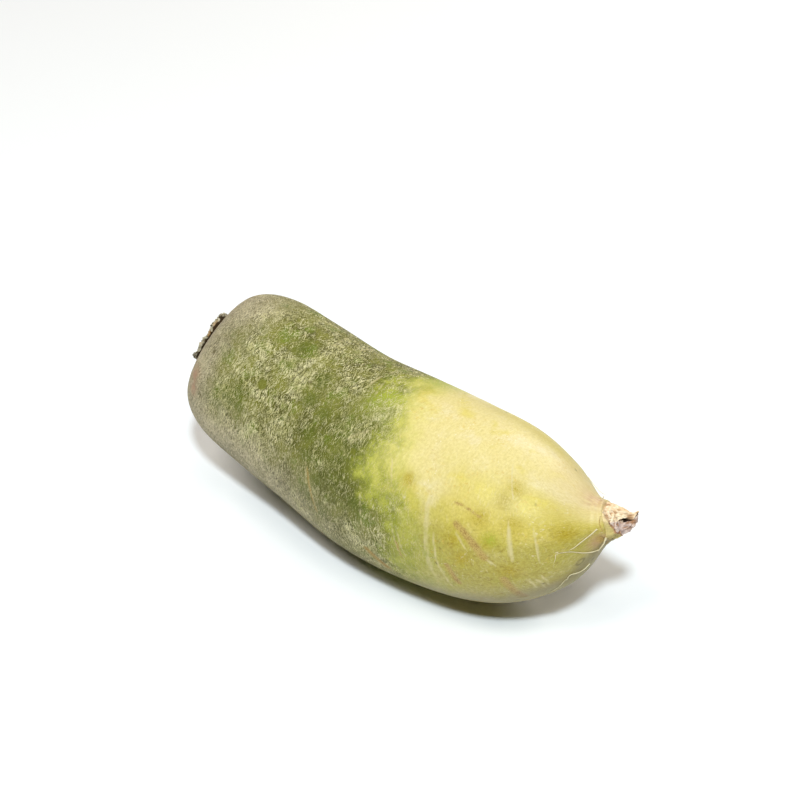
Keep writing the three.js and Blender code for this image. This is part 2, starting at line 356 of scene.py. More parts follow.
# %% Marks on the far side
FAR_BANDS, FAR_SCARS, FAR_PORES = 22, 5, 34
die = random.Random(11)
for _ in range(FAR_BANDS):
    start = (die.uniform(0.12, 0.95), die.uniform(140, 375))
    span = die.uniform(12, 46)
    lean = die.uniform(-0.004, 0.010)
    path = [(start[0] + lean * k, start[1] + span * k / 3) for k in range(4)]
    CORK_BANDS.append((path, die.choice([0.5, 0.7, 1.2]), die.uniform(0.05, 0.14)))
for _ in range(FAR_SCARS):
    start = (die.uniform(0.35, 0.88), die.uniform(150, 330))
    path = [start, (start[0] + die.uniform(0.01, 0.04), start[1] + die.uniform(6, 20))]
    SCARS.append((path, die.uniform(0.8, 2.0), die.uniform(0.15, 0.3)))
for _ in range(FAR_PORES):
    PORES.append(((die.uniform(0.03, 0.96), die.uniform(125, 345)), die.uniform(0.35, 0.8), 0.12))
print(len(CORK_BANDS), "cork bands,", len(SCARS), "scars,", len(PORES), "pores in all")

# %% [markdown]
# ## The grid that becomes the root
# The skin is a grid wrapped round the centre line: rows along the root, columns round its
# girth, one point at each end. Python only works out where each grid point belongs and which
# marks it carries, and stores that on the point as named values. Geometry Nodes will do the
# sweeping. The rows stand closer at both ends, where the skin curves most.

# %% The grid and the way from a mark to its points
ROWS, COLUMNS = 380, 250
END_CROWDING = 0.8  # 0 spaces the rows evenly, 1 crowds them most towards the ends

u = np.linspace(0, 1, ROWS + 1)
row_along = (1 - END_CROWDING) * u + END_CROWDING * (1 - np.cos(math.pi * u)) / 2
column_angle = np.arange(COLUMNS) * 2 * math.pi / COLUMNS
along_grid, angle_grid = np.meshgrid(row_along, column_angle, indexing="ij")
print("grid points:", along_grid.size)


def to_path(path):
    """Millimetres over the skin from every grid point to a path, and the share of the path."""
    length, girth = SPINE_LENGTH, radius_at(np.array([p[0] for p in path])).mean()
    turn = (np.degrees(angle_grid) - path[0][1] + 180) % 360 - 180 + path[0][1]
    x, y = along_grid * length, np.radians(turn) * girth
    best, share = np.full(along_grid.shape, np.inf), np.zeros(along_grid.shape)
    for k in range(len(path) - 1):
        ax, ay = path[k][0] * length, math.radians(path[k][1]) * girth
        bx, by = path[k + 1][0] * length, math.radians(path[k + 1][1]) * girth
        t = np.clip(((x - ax) * (bx - ax) + (y - ay) * (by - ay)) / ((bx - ax) ** 2 + (by - ay) ** 2), 0, 1)
        away = np.hypot(x - ax - t * (bx - ax), y - ay - t * (by - ay))
        share = np.where(away < best, (k + t) / (len(path) - 1), share)
        best = np.minimum(best, away)
    return best, share


def to_spot(place):
    """Millimetres over the skin from every grid point to one place."""
    turn = (np.degrees(angle_grid) - place[1] + 180) % 360 - 180
    girth = radius_at(np.array([place[0]]))[0]
    return np.hypot((along_grid - place[0]) * SPINE_LENGTH, np.radians(turn) * girth)


# %% [markdown]
# Each mark now leaves two things on the grid: a mask from 0 to 1 for the paint, and a little
# relief, because a real scar can be felt. Bands have steep edges and thin out towards both
# ends, pores are soft dimples, and the widest bands are split by a fine groove.

# %% The marks' masks and relief
INSIDE = 0.03  # the skin lies a hair inside the solid model
STEEP = 4  # the power that gives a band its steep edges
BAND_WIDTH, SCAR_WIDTH = 0.55, 0.60  # half widths, as shares of the width
TAPER_SHARE, THINNEST = 1 / 5, 0.25
GROOVE_WIDTH, GROOVE_SHARE, GROOVED_FROM = 0.35, 0.55, 1.2
RING_WIDTH, RING_SHARE = 0.35, 0.75

cork, scar, pore, relief = (np.zeros(along_grid.shape) for _ in range(4))
relief -= INSIDE
for path, width, height in CORK_BANDS:
    away, share = to_path(path)
    taper = np.clip(np.minimum(share, 1 - share) / TAPER_SHARE, THINNEST, 1)
    band = np.exp(-((away / (BAND_WIDTH * width * taper)) ** STEEP)) * taper**0.5
    band *= 1 - GROOVE_SHARE * hump(away, 0, GROOVE_WIDTH) * (width > GROOVED_FROM)
    cork = np.maximum(cork, band)
    relief += height * band
for path, width, depth in SCARS:
    away, _ = to_path(path)
    band = np.exp(-((away / (SCAR_WIDTH * width)) ** STEEP))
    scar = np.maximum(scar, band)
    relief -= depth * band
for place, radius, depth in PORES:
    dimple = hump(to_spot(place), 0, radius)
    pore = np.maximum(pore, dimple)
    relief -= depth * dimple
for place, radius in LENTICELS:
    pore = np.maximum(pore, RING_SHARE * hump(to_spot(place), radius, RING_WIDTH))
masks = {"cork": cork, "scar": scar, "pore": pore}
for name, spots in PATCHES.items():
    masks[name] = np.max([hump(to_spot(place), 0, radius) for place, radius in spots], axis=0)
print("masks:", ", ".join(masks))

# %% [markdown]
# Rings of wrinkles run round the neck and fan out round the crown, where the skin has dried.
# A sine wave makes them, bent by a second one so that they don't look turned.

# %% Wrinkles round the neck and the crown
NECK_FOLD, NECK_FOLD_REACH, NECK_FOLD_TURNS = 0.20, 4.0, 2.6
CROWN_FOLD, CROWN_FOLD_REACH, CROWN_FOLD_COUNT = 0.16, 3.0, 24

to_neck, to_crown = (1 - along_grid) * SPINE_LENGTH, along_grid * SPINE_LENGTH
neck_wave = np.sin(to_neck * NECK_FOLD_TURNS + 0.8 * np.sin(3 * angle_grid))
crown_wave = np.sin(CROWN_FOLD_COUNT * angle_grid + 2 * np.sin(5 * angle_grid))
relief += NECK_FOLD * neck_wave * np.exp(-to_neck / NECK_FOLD_REACH)
relief += CROWN_FOLD * crown_wave * np.exp(-to_crown / CROWN_FOLD_REACH)
radius_grid = radius_at(along_grid) * (1 + swelling_at(along_grid, angle_grid)) + relief
print("relief from", round(relief.min(), 2), "to", round(relief.max(), 2), "mm")

# %% [markdown]
# The dish in the crown is a few extra rows: out across its floor and up its wall. Three
# helpers follow: one lists the faces of such a tube of rows, one lines up a value for every
# point, and one keeps it on the mesh, where paint and Geometry Nodes can read it by name.

# %% Rows, faces and stored values
DISH_ROWS = [(SEAT_DEPTH, 0.5), (SEAT_DEPTH, 1.0), (0.6, 1.0), (0.0, 1.0)]  # depth, share of its radius


def closed_grid(rows, columns):
    """Faces of a tube of rows with one extra point at each end, listed last."""
    first, last = rows * columns, rows * columns + 1
    faces = []
    for j in range(columns):
        k = (j + 1) % columns
        faces.append((first, k, j))
        faces.append((last, (rows - 1) * columns + j, (rows - 1) * columns + k))
        faces.extend((i * columns + j, i * columns + k, (i + 1) * columns + k, (i + 1) * columns + j)
                     for i in range(rows - 1))
    return faces


def on_grid(values, dish_values=0.0, ends=None):
    """One value a point: the dish's rows, then the grid's, then the two end points."""
    front = np.broadcast_to(dish_values, (len(DISH_ROWS), COLUMNS))
    ends = [0.0, values[-1].mean()] if ends is None else ends
    return np.concatenate([front.ravel(), values.ravel(), ends])


def store(mesh, name, values):
    """Keeps one number for each point of a mesh, under a name."""
    mesh.attributes.new(name, "FLOAT", "POINT").data.foreach_set("value", np.asarray(values, np.float32))


print("the dish is", SEAT_DEPTH, "mm deep and", 2 * SEAT_RADIUS, "mm wide")

# %% [markdown]
# The grid now becomes a mesh whose points all lie at the origin and only carry their values.
# `place` is the pattern's own space: the root straightened out, so that a streak can run
# round the girth and never show a seam.

# %% The grid as a mesh
MEAN_RADIUS = 36.0  # one girth for the whole pattern, so that it doesn't stretch at the ends

dish_depth, dish_share = (np.array(column)[:, None] for column in zip(*DISH_ROWS))
point_along = on_grid(along_grid, dish_depth / SPINE_LENGTH, [SEAT_DEPTH / SPINE_LENGTH, 1.0])
point_angle = on_grid(angle_grid, column_angle, [0.0, 0.0])
root_grid = bpy.data.meshes.new("root_grid")
root_faces = closed_grid(ROWS + 1 + len(DISH_ROWS), COLUMNS)
root_grid.from_pydata([(0, 0, 0)] * point_along.size, [], root_faces)
store(root_grid, "along", point_along)
store(root_grid, "angle", point_angle)
store(root_grid, "radius", on_grid(radius_grid, dish_share * SEAT_RADIUS, [0.0, 0.0]) * MM)
for name, mask in masks.items():
    store(root_grid, name, on_grid(mask))
straightened = np.stack([point_along * SPINE_LENGTH,
                         np.cos(point_angle) * MEAN_RADIUS,
                         np.sin(point_angle) * MEAN_RADIUS], 1) * MM
place_layer = root_grid.attributes.new("place", "FLOAT_VECTOR", "POINT")
place_layer.data.foreach_set("vector", straightened.astype(np.float32).ravel())
print("grid:", len(root_grid.vertices), "points,", len(root_grid.polygons), "faces")

# %% [markdown]
# ## Helpers for Geometry Nodes
# Every tree begins with its named inputs and ends by turning its copies into real meshes and
# giving them their material. Between the two it can read what was stored on the mesh.

# %% The beginning and the end of a tree
def new_tree(name, inputs):
    """A Geometry Nodes tree with named inputs. Returns its wiring and its group input."""
    tree = bpy.data.node_groups.new(name, "GeometryNodeTree")
    tree.interface.new_socket("Geometry", in_out="INPUT", socket_type="NodeSocketGeometry")
    tree.interface.new_socket("Geometry", in_out="OUTPUT", socket_type="NodeSocketGeometry")
    for label, kind in inputs.items():
        tree.interface.new_socket(label, in_out="INPUT", socket_type="NodeSocket" + kind)
    wires = Wiring(tree)
    return wires, tree.nodes.new("NodeGroupInput").outputs


def named(wires, name):
    """A value that was stored on the mesh, read inside a tree."""
    node = wires.put("GeometryNodeInputNamedAttribute", {"Name": name}, data_type="FLOAT")
    return node.outputs["Attribute"]


def close_tree(wires, geometry, finish):
    """Ends a tree: copies become real meshes, and take their material."""
    real = wires.put("GeometryNodeRealizeInstances", {"Geometry": geometry}).outputs[0]
    done = wires.put("GeometryNodeSetMaterial", {"Geometry": real, "Material": finish}).outputs[0]
    wires.tree.links.new(done, wires.tree.nodes.new("NodeGroupOutput").inputs[0])


# %% [markdown]
# A tree is run once and its result is kept as a plain mesh, which is what other programs can
# read. Its inputs are set by their identifiers, because a modifier doesn't know them by
# name, and the modifier is taken off again.

# %% Running a tree
def set_in_scene(name, data):
    """A new object in the scene, at the origin."""
    made = bpy.data.objects.new(name, data)
    bpy.context.scene.collection.objects.link(made)
    return made


def plain_mesh(piece):
    """The piece's mesh as its modifiers leave it."""
    return bpy.data.meshes.new_from_object(piece.evaluated_get(bpy.context.evaluated_depsgraph_get()))


def grow(name, mesh, wires, values):
    """Runs a tree on a mesh with the given inputs and returns a plain object of the result."""
    carrier = set_in_scene(name + "_carrier", mesh)
    modifier = carrier.modifiers.new("tree", "NODES")
    modifier.node_group = wires.tree
    for item in wires.tree.interface.items_tree:
        if item.in_out == "INPUT" and item.name in values:
            modifier[item.identifier] = values[item.name]
    grown = plain_mesh(carrier)
    grown.name = name
    carrier.modifiers.remove(modifier)
    bpy.data.objects.remove(carrier)
    return set_in_scene(name, grown)


# %% [markdown]
# ## Sweeping the grid along the centre line
# The root's shape follows a rule, so Geometry Nodes build it: a Bezier segment is the centre
# line, each grid point is set off from it by its own radius and angle, and nothing may sink
# below the table. Two sizes of noise then push the skin a few hundredths of a millimetre in
# and out, which breaks up the long highlights.

# %% Sweeping the grid along the centre line
BROAD_NOISE, FINE_NOISE = 60.0, 420.0  # cycles a metre

sweep, given = new_tree("sweep_the_skin", {
    "Crown": "Vector", "Crown handle": "Vector", "Neck handle": "Vector", "Neck": "Vector",
    "Broad unevenness": "Float", "Fine unevenness": "Float", "Finish": "Material"})
centre_line = sweep.put("GeometryNodeCurvePrimitiveBezierSegment", {
    "Resolution": 1000, "Start": given["Crown"], "Start Handle": given["Crown handle"],
    "End Handle": given["Neck handle"], "End": given["Neck"]}, mode="POSITION").outputs[0]
on_line = sweep.put("GeometryNodeSampleCurve", {"Curves": centre_line, "Factor": named(sweep, "along")},
                    mode="FACTOR").outputs
right = sweep.vector("NORMALIZE", sweep.vector("CROSS_PRODUCT", on_line["Tangent"], (0, 0, 1)))
upward = sweep.vector("CROSS_PRODUCT", right, on_line["Tangent"])
angle = named(sweep, "angle")
spoke = sweep.vector("ADD", sweep.scaled(upward, sweep.math("COSINE", angle)),
                     sweep.scaled(right, sweep.math("SINE", angle)))
skin_place = sweep.vector("ADD", on_line["Position"], sweep.scaled(spoke, named(sweep, "radius")))
bump_broad = sweep.less(sweep.noise(skin_place, BROAD_NOISE, 2.0), 0.5)
bump_fine = sweep.less(sweep.noise(skin_place, FINE_NOISE, 3.0), 0.5)
bumps = sweep.plus(sweep.times(bump_broad, given["Broad unevenness"]),
                   sweep.times(bump_fine, given["Fine unevenness"]))
uneven_place = sweep.xyz(sweep.vector("ADD", skin_place, sweep.scaled(spoke, bumps)))
on_table = sweep.join_xyz(uneven_place[0], uneven_place[1], sweep.most(uneven_place[2], 0.0))
swept = sweep.put("GeometryNodeSetPosition", {"Geometry": given["Geometry"], "Position": on_table}).outputs[0]
smooth = sweep.put("GeometryNodeSetShadeSmooth", {"Geometry": swept}).outputs[0]
close_tree(sweep, smooth, given["Finish"])
print("the sweep has", len(sweep.tree.nodes), "nodes")

# %% [markdown]
# ## The skin's finish
# The shoulder grew above the soil and turned green in the sun; the lower half stayed pale.
# Over the green lies a net of corky, tan threads, and a grey bloom of dried soil on its
# flanks. An image wrapped round the root would show a seam and would blur close up, so one
# Principled shader makes it all from noise, which is the same at any distance.
#
# What belongs to one place is worked out here and stored on the points: how far a point lies
# past the border of the green, how dusty it is, how bare of net, and how near the rim.

# %% Where the green ends and the dust lies
BORDER_ANGLES = [7, 26, 49, 62, 80, 98, 120, 150, 230, 310, 330]
BORDER_ALONG = [0.530, 0.554, 0.590, 0.630, 0.668, 0.678, 0.665, 0.62, 0.60, 0.55, 0.525]

degrees = np.degrees(point_angle)
turn = (degrees + 180) % 360 - 180
near_side = hump(turn, 106, 31) * np.clip(1.5 - point_along / 0.46, 0, 1)
far_side = hump(turn, -120, 30) * hump(point_along, 0.30, 0.25)
shoulder_top = hump(turn, 2, 50) * np.clip(1.6 - point_along / 0.11, 0, 1)
shoulder_side = hump(turn, 52, 38) * np.clip(2.1 - point_along / 0.065, 0, 1)
shoulder_rim = np.clip(1.4 - point_along / 0.035, 0, 1)
under_tail = 0.45 * hump(turn, 126, 16) * np.clip((point_along - 0.6) / 0.1, 0, 1)
dust = near_side + far_side + np.maximum(shoulder_top, shoulder_side) + 0.8 * shoulder_rim + under_tail
store(root_grid, "past_border", point_along - np.interp(degrees, BORDER_ANGLES, BORDER_ALONG, period=360))
store(root_grid, "bloom", np.clip(dust, 0, 1))
store(root_grid, "bare", hump(turn, 52, 36) * hump(point_along, 0.49, 0.10))
store(root_grid, "rim", shoulder_rim)
print(f"the green ends from {min(BORDER_ALONG):.0%} to {max(BORDER_ALONG):.0%} of the way along")

# %% [markdown]
# Every layer of paint is chosen by one of two kinds of noise. `uneven` is plain clouds, in
# cycles a metre, moved about so that no two layers agree. `drawn_out` is squeezed along the
# root and leaned over, so that its specks become short slanting fibres round the girth.

# %% Noise over the skin
skin, on, skin_shader = new_finish(
    "daikon_skin", Subsurface_Weight=0.06, Subsurface_Radius=(1.0, 0.8, 0.3), Subsurface_Scale=0.002,
    Specular_IOR_Level=0.25)
place = on.trait("place", "Vector")
past_border, bloom = on.trait("past_border"), on.trait("bloom")
faces_up = on.math("DIVIDE", on.xyz(place)[1], MEAN_RADIUS * MM)  # 1 on top, -1 underneath


def uneven(scale, shift=0.0, detail=3.0, rough=0.55):
    """Noise about zero, at `scale` cycles a metre."""
    moved = on.vector("ADD", place, (shift, shift, shift))
    return on.less(on.noise(moved, scale, detail, rough), 0.5)


def drawn_out(along_scale, round_scale, slant, shift, detail=2.0):
    """Noise drawn out round the girth, on lines that slant one way or the other."""
    bend = on.times(uneven(150.0, shift, 2.0), 0.005)
    lean = on.times(on.xyz(place)[2], slant)
    bent = on.vector("ADD", place, on.join_xyz(on.plus(bend, lean), 0.0, 0.0))
    moved = on.vector("ADD", bent, (shift, shift, shift))
    return on.noise(on.vector("MULTIPLY", moved, (along_scale, round_scale, round_scale)), 1.0, detail, 0.6)


clouds, patchy, smudged = uneven(45.0), uneven(105.0, 0.4), uneven(240.0, 0.8, 3.0, 0.6)
crumbs = on.noise(on.vector("MULTIPLY", place, (1.5, 1, 1)), 1250.0, 2.0, 0.7)
print("noise in cycles a metre: clouds 45, patches 105, smudges 240, crumbs 1250")

# %% [markdown]
# The border isn't a line: the green fades over a few centimetres, unevenly, by way of a
# yellower green. Adding noise to the distance before the step is what frays it.

# %% The frayed border
CLOUD_FRAY, SMUDGE_FRAY = 0.20, 0.08
line = on.plus(on.plus(past_border, on.times(clouds, CLOUD_FRAY)), on.times(smudged, SMUDGE_FRAY))
flesh_share = on.step(line, -0.060, 0.070)
lime_share = on.step(line, -0.075, -0.005)
print("the border frays by", round(0.5 * (CLOUD_FRAY + SMUDGE_FRAY) * SPINE_LENGTH), "mm at most")

# %% [markdown]
# The net is two slanting fibre noises laid over each other, the higher one winning, so that
# the fibres cross. A smooth step then keeps only the crests. Where something is taken off
# the noise before the step, fewer crests are left and more green shows through.

# %% The net of corky threads
SLANT_ONE, SLANT_OTHER = 0.42, -0.50
THREAD_PART, CRUMB_PART = 0.78, 0.22
CREST_FROM, CREST_TO = 0.530, 0.580
# how much is taken off where the mask or the noise is full
WORN_BARE, WORN_LIME, WORN_DARK, WORN_BY_CLOUDS = 0.022, 0.020, 0.020, 0.18

threads = on.most(drawn_out(3600.0, 520.0, SLANT_ONE, 0.1), drawn_out(3300.0, 460.0, SLANT_OTHER, 0.6))
field = on.plus(on.times(threads, THREAD_PART), on.times(crumbs, CRUMB_PART))
thinner = on.plus(on.times(on.trait("bare"), WORN_BARE), on.times(lime_share, WORN_LIME))
thinner = on.plus(thinner, on.times(on.trait("dark"), WORN_DARK))
thinner = on.plus(thinner, on.times(on.plus(clouds, patchy), WORN_BY_CLOUDS))
field = on.less(field, thinner)
net = on.step(field, CREST_FROM, CREST_TO)
print("net:", len(skin.node_tree.nodes), "nodes so far")

# %% [markdown]
# Under the net the green runs from a deep olive to a fresh one, and turns lime at the border.
# The threads are tan, and darker where the skin is shaded or was rubbed.

# %% The green shoulder
DEEP_OLIVE, PALE_OLIVE = paint(0.083, 0.077, 0.012), paint(0.208, 0.203, 0.034)
FRESH_OLIVE, SHADED_OLIVE = paint(0.155, 0.195, 0.020), paint(0.105, 0.128, 0.010)
DULL_LIME, BRIGHT_LIME = paint(0.275, 0.305, 0.028), paint(0.405, 0.42, 0.052)
TAN_THREAD, PALE_THREAD = paint(0.47, 0.435, 0.19), paint(0.70, 0.64, 0.36)
SHADED_THREAD = paint(0.33, 0.32, 0.10)

shaded = on.most(on.times(on.trait("dark"), 0.85), on.times(on.trait("bare"), 0.55))
olive = on.fade(patchy, -0.12, 0.14, DEEP_OLIVE, PALE_OLIVE)
olive = on.fade(uneven(130.0, 1.3), 0.02, 0.2, olive, FRESH_OLIVE)
olive = on.mix(shaded, olive, SHADED_OLIVE)
limed = on.fade(smudged, -0.1, 0.1, DULL_LIME, BRIGHT_LIME)
green = on.mix(lime_share, olive, limed)
thread_paint = on.fade(smudged, -0.1, 0.12, TAN_THREAD, PALE_THREAD)
thread_paint = on.mix(on.times(shaded, 0.75), thread_paint, SHADED_THREAD)
green = on.mix(on.times(net, 0.92), green, thread_paint)
print("green and its threads:", len(skin.node_tree.nodes), "nodes so far")

# %% [markdown]
# Dried soil sits on the flanks as a grey-brown bloom, thickest where the net is thick, and
# the rim round the leaf stalks is browner still, like thin bark. Fine grit goes over both: it
# is multiplied in, so that it darkens and lightens whatever lies beneath.

# %% Bloom, rim and grit
DAMP_SOIL, DRY_SOIL = paint(0.15, 0.125, 0.065), paint(0.58, 0.50, 0.335)
DARK_BARK, PALE_BARK = paint(0.36, 0.29, 0.18), paint(0.55, 0.455, 0.31)
GRIT_DARK, GRIT_LIGHT = paint(0.78, 0.78, 0.70), paint(1.16, 1.15, 1.15)

dusted = on.times(bloom, on.step(on.plus(patchy, on.times(bloom, 0.5)), -0.10, 0.25))
green = on.mix(on.times(dusted, 0.9), green, on.fade(field, 0.42, 0.60, DAMP_SOIL, DRY_SOIL))
rimmed = on.times(on.trait("rim"), on.step(on.plus(smudged, patchy), -0.35, 0.15, 0.15, 0.85))
green = on.mix(rimmed, green, on.fade(crumbs, 0.40, 0.62, DARK_BARK, PALE_BARK))
grit = on.fade(uneven(1900.0, 11.6, 2.0, 0.8), -0.13, 0.13, GRIT_DARK, GRIT_LIGHT)
green = on.mix(1.0, green, grit, "MULTIPLY")
print("bloom, rim and grit:", len(skin.node_tree.nodes), "nodes so far")

# %% [markdown]
# ## The pale flesh
# The skin of the pale half is thin, so the flesh shows: cream on top, yellower and then
# greener down the side, in soft clouds. Every paint of the flesh is also darker down the side
# and low down than on top: painted shade. The helper below picks between a shaded paint for
# the side and a lit one for the top.

# %% The pale flesh in clouds, with painted shade down the side
# Picks a darker paint for the side and a lighter one for the top: painted shade.
def shade_by_height(low, high, side_paint, top_paint):
    return on.fade(faces_up, low, high, side_paint, top_paint)


LIT_TOP, SHADED_SIDE, SHADED_LOW = paint(0.735, 0.62, 0.27), paint(0.550, 0.468, 0.106), paint(0.445, 0.378, 0.080)
CREAM_HIGHLIGHT, RIPE = paint(0.77, 0.665, 0.41), paint(0.620, 0.508, 0.110)

# The flesh's cream and yellow tones, lit on top and painted darker, as shade, down the side and low down.
flesh = on.fade(on.plus(faces_up, on.times(clouds, 0.9)), 0.38, 0.86, SHADED_SIDE, LIT_TOP)
flesh = on.fade(on.plus(faces_up, on.times(patchy, 0.8)), 0.56, 0.10, flesh, SHADED_LOW)
# Pale cream clouds, mostly on top: the flesh's cream tone, partly a painted highlight.
creamy_highlight = on.times(on.step(uneven(60.0, 2.1), 0.0, 0.2), on.step(faces_up, 0.2, 0.8, 0.25, 0.75))
flesh = on.mix(creamy_highlight, flesh, CREAM_HIGHLIGHT)
ripe = on.times(on.step(faces_up, 0.20, 0.48), on.step(faces_up, 0.97, 0.80))
ripe = on.times(ripe, on.step(past_border, 0.08, 0.20, 0.0, 0.85))
flesh = on.mix(ripe, flesh, RIPE)
# Beside the border, and in the yellow patches below, the side's paint is darker: painted shade.
beside_border_shaded_low = shade_by_height(0.3, 0.8, paint(0.44, 0.42, 0.068), paint(0.64, 0.58, 0.13))
flesh = on.mix(on.step(line, 0.13, 0.0, 0.0, 0.75), flesh, beside_border_shaded_low)
yellow = shade_by_height(0.1, 0.7, paint(0.42, 0.385, 0.055), paint(0.68, 0.565, 0.12))
flesh = on.mix(on.step(uneven(80.0, 3.4), 0.03, 0.2, 0.0, 0.75), flesh, yellow)
print("pale flesh:", len(skin.node_tree.nodes), "nodes so far")

# %% [markdown]
# Fine pale and dark lines run round the girth, and the neck turns pinkish as it dries.

# %% Hairlines and the neck
LINE_SHARE, NECK_SHARE = 0.30, 0.65

hairlines = drawn_out(1700.0, 260.0, 0.15, 1.9)
pale_line = on.mix(0.5, flesh, paint(0.85, 0.78, 0.55))
flesh = on.mix(on.step(hairlines, 0.54, 0.70, 0.0, LINE_SHARE), flesh, pale_line)
dark_line = on.mix(0.5, flesh, paint(0.42, 0.34, 0.08))
flesh = on.mix(on.step(hairlines, 0.46, 0.30, 0.0, LINE_SHARE), flesh, dark_line)
# The drying neck is pinkish; its paint is darker low down: painted shade.
neck_paint_shaded_low = shade_by_height(-0.2, 0.5, paint(0.52, 0.43, 0.15), paint(0.75, 0.605, 0.31))
flesh = on.mix(on.step(past_border, 0.34, 0.42, 0.0, NECK_SHARE), flesh, neck_paint_shaded_low)
print("hairlines and neck:", len(skin.node_tree.nodes), "nodes so far")

# %% [markdown]
# Close up the flesh is full of specks: golden, brown, whitish and dark grit. Each sort comes
# in patches, so its share is one slow noise, for the patches, times one fast noise, for the
# specks. A table keeps the four sorts side by side.

# %% Stains and specks in the flesh
GOLDEN = paint(0.43, 0.325, 0.028)
BROWN_SPECK, OCHRE_SPECK = paint(0.50, 0.30, 0.09), paint(0.62, 0.42, 0.08)
WHITE_SPECK, DARK_SPECK = paint(0.85, 0.78, 0.60), paint(0.30, 0.22, 0.035)
# where the patches are, where the specks are, how strong, their paint
SPECKLES = [
    (on.step(uneven(170.0, 4.2), 0.04, 0.18), on.step(crumbs, 0.60, 0.70), 0.60, BROWN_SPECK),
    (on.step(uneven(75.0, 6.1), -0.02, 0.18), on.step(uneven(620.0, 5.2, 4.0, 0.7), 0.04, 0.16), 0.60,
     OCHRE_SPECK),
    (on.step(uneven(90.0, 8.1), -0.05, 0.15), on.step(uneven(800.0, 7.2, 3.0, 0.7), 0.10, 0.2), 0.60,
     WHITE_SPECK),
    (on.step(faces_up, 0.75, 0.2), on.step(uneven(520.0, 9.2, 4.0, 0.75), 0.04, 0.18), 0.65, DARK_SPECK),
]

grained = on.step(on.plus(crumbs, on.times(patchy, 0.5)), 0.40, 0.62)
gilded = on.times(on.trait("gold"), on.plus(on.times(grained, 0.5), 0.5))
flesh = on.mix(gilded, flesh, GOLDEN)
for patch, speck, strength, speck_paint in SPECKLES:
    flesh = on.mix(on.times(on.times(patch, speck), strength), flesh, speck_paint)
print(len(SPECKLES), "sorts of speck,", len(skin.node_tree.nodes), "nodes so far")

# %% [markdown]
# Dust and a fine grain finish the flesh, and the frayed border lays it over the green.

# %% Flesh and green together
FLESH_DUST = paint(0.47, 0.42, 0.27)

flesh = on.mix(on.times(dusted, 0.8), flesh, FLESH_DUST)
# The grain darkens the flesh more low down than on top: painted shade.
grain_dark_shaded_low = shade_by_height(0.3, 0.75, paint(0.84, 0.81, 0.72), paint(0.93, 0.91, 0.86))
grain = on.fade(uneven(950.0, 10.3, 3.0, 0.7), -0.15, 0.15, grain_dark_shaded_low, paint(1.03, 1.03, 1.05))
flesh = on.mix(1.0, flesh, grain, "MULTIPLY")
grown = on.mix(flesh_share, green, flesh)
print("green and flesh together:", len(skin.node_tree.nodes), "nodes so far")

# %% [markdown]
# ## Marks over both
# The marks that were stored on the points are laid on last, over green and flesh alike:
# rubbed spots, lime and pink blushes, pale cork, grained brown scars, dark pores. Last, the
# belly that faces the table is painted darker and browner: painted shade where it turns under.

# %% The marks' paint
RUBBED, LIME, BLUSH = paint(0.17, 0.175, 0.014), paint(0.355, 0.395, 0.038), paint(0.47, 0.255, 0.155)
CORK, PORE, PAINTED_BELLY_SHADE = paint(0.66, 0.565, 0.30), paint(0.10, 0.075, 0.02), paint(0.095, 0.062, 0.018)
SCAR_TAN, SCAR_BROWN = paint(0.49, 0.34, 0.105), paint(0.27, 0.155, 0.035)

scarred = on.trait("scar")
dotted = on.step(on.plus(on.noise(place, 2200.0, 2.0, 0.7), on.times(smudged, 0.5)), 0.47, 0.59)
limy = on.step(on.less(patchy, net), -1.0, 0.15, 0.2, 0.9)
LAYERS = [  # how much of the layer shows, its paint, from the lowest to the uppermost
    (on.step(on.trait("rubbed"), 0.25, 0.6, 0.0, 0.85), RUBBED),
    (on.times(on.trait("lime"), limy), LIME),
    (on.times(on.trait("pink"), on.step(smudged, -0.2, 0.15, 0.3, 0.9)), BLUSH),
    (on.times(on.trait("cork"), on.step(smudged, -0.22, 0.04, 0.25, 0.72)), CORK),
    (on.times(scarred, on.step(smudged, -0.2, 0.1, 0.60, 0.95)), SCAR_TAN),
    (on.times(on.times(scarred, dotted), 0.80), SCAR_BROWN),
    (on.times(on.trait("pore"), 0.85), PORE),
    # painted shade: the belly darkens and browns as it turns under towards the table
    (on.step(faces_up, -0.34, -0.66, 0.0, 0.5), PAINTED_BELLY_SHADE),
]
colour = grown
for share, layer_paint in LAYERS:
    colour = on.mix(share, colour, layer_paint)
print(len(LAYERS), "layers of marks over green and flesh")

# %% [markdown]
# The same net drives the roughness and a small bump, so what looks rough also catches the
# light as rough: the shoulder is dull, the pale half has a soft shine. A little light goes
# into the flesh and comes out again, which is what the subsurface setting is for.

# %% How the skin takes the light
FLESH_ROUGHNESS, GREEN_ROUGHER, KNOTS_ROUGHER, CRUMBS_ROUGHER = 0.36, 0.22, 0.12, 0.10

greenness = on.less(1.0, flesh_share)
knots = on.times(net, greenness)
rough = on.plus(on.times(greenness, GREEN_ROUGHER), on.times(knots, KNOTS_ROUGHER))
rough = on.plus(rough, on.times(crumbs, CRUMBS_ROUGHER))
on.tree.links.new(on.plus(rough, FLESH_ROUGHNESS), skin_shader.inputs["Roughness"])
height = on.plus(on.plus(knots, on.times(crumbs, 0.5)), on.times(hairlines, 0.4))
wire_up(on, skin_shader, colour, height, strength=0.8, depth=0.00014)
print("the skin's tree has", len(skin.node_tree.nodes), "nodes")

# %% [markdown]
# ## The root
# Everything is ready: the grid carries its values, the tree knows how to sweep it, and the
# skin is painted. `grow` runs the tree once and keeps the result as a plain mesh.

# %% The root
BROAD_UNEVENNESS, FINE_UNEVENNESS = 0.25, 0.07

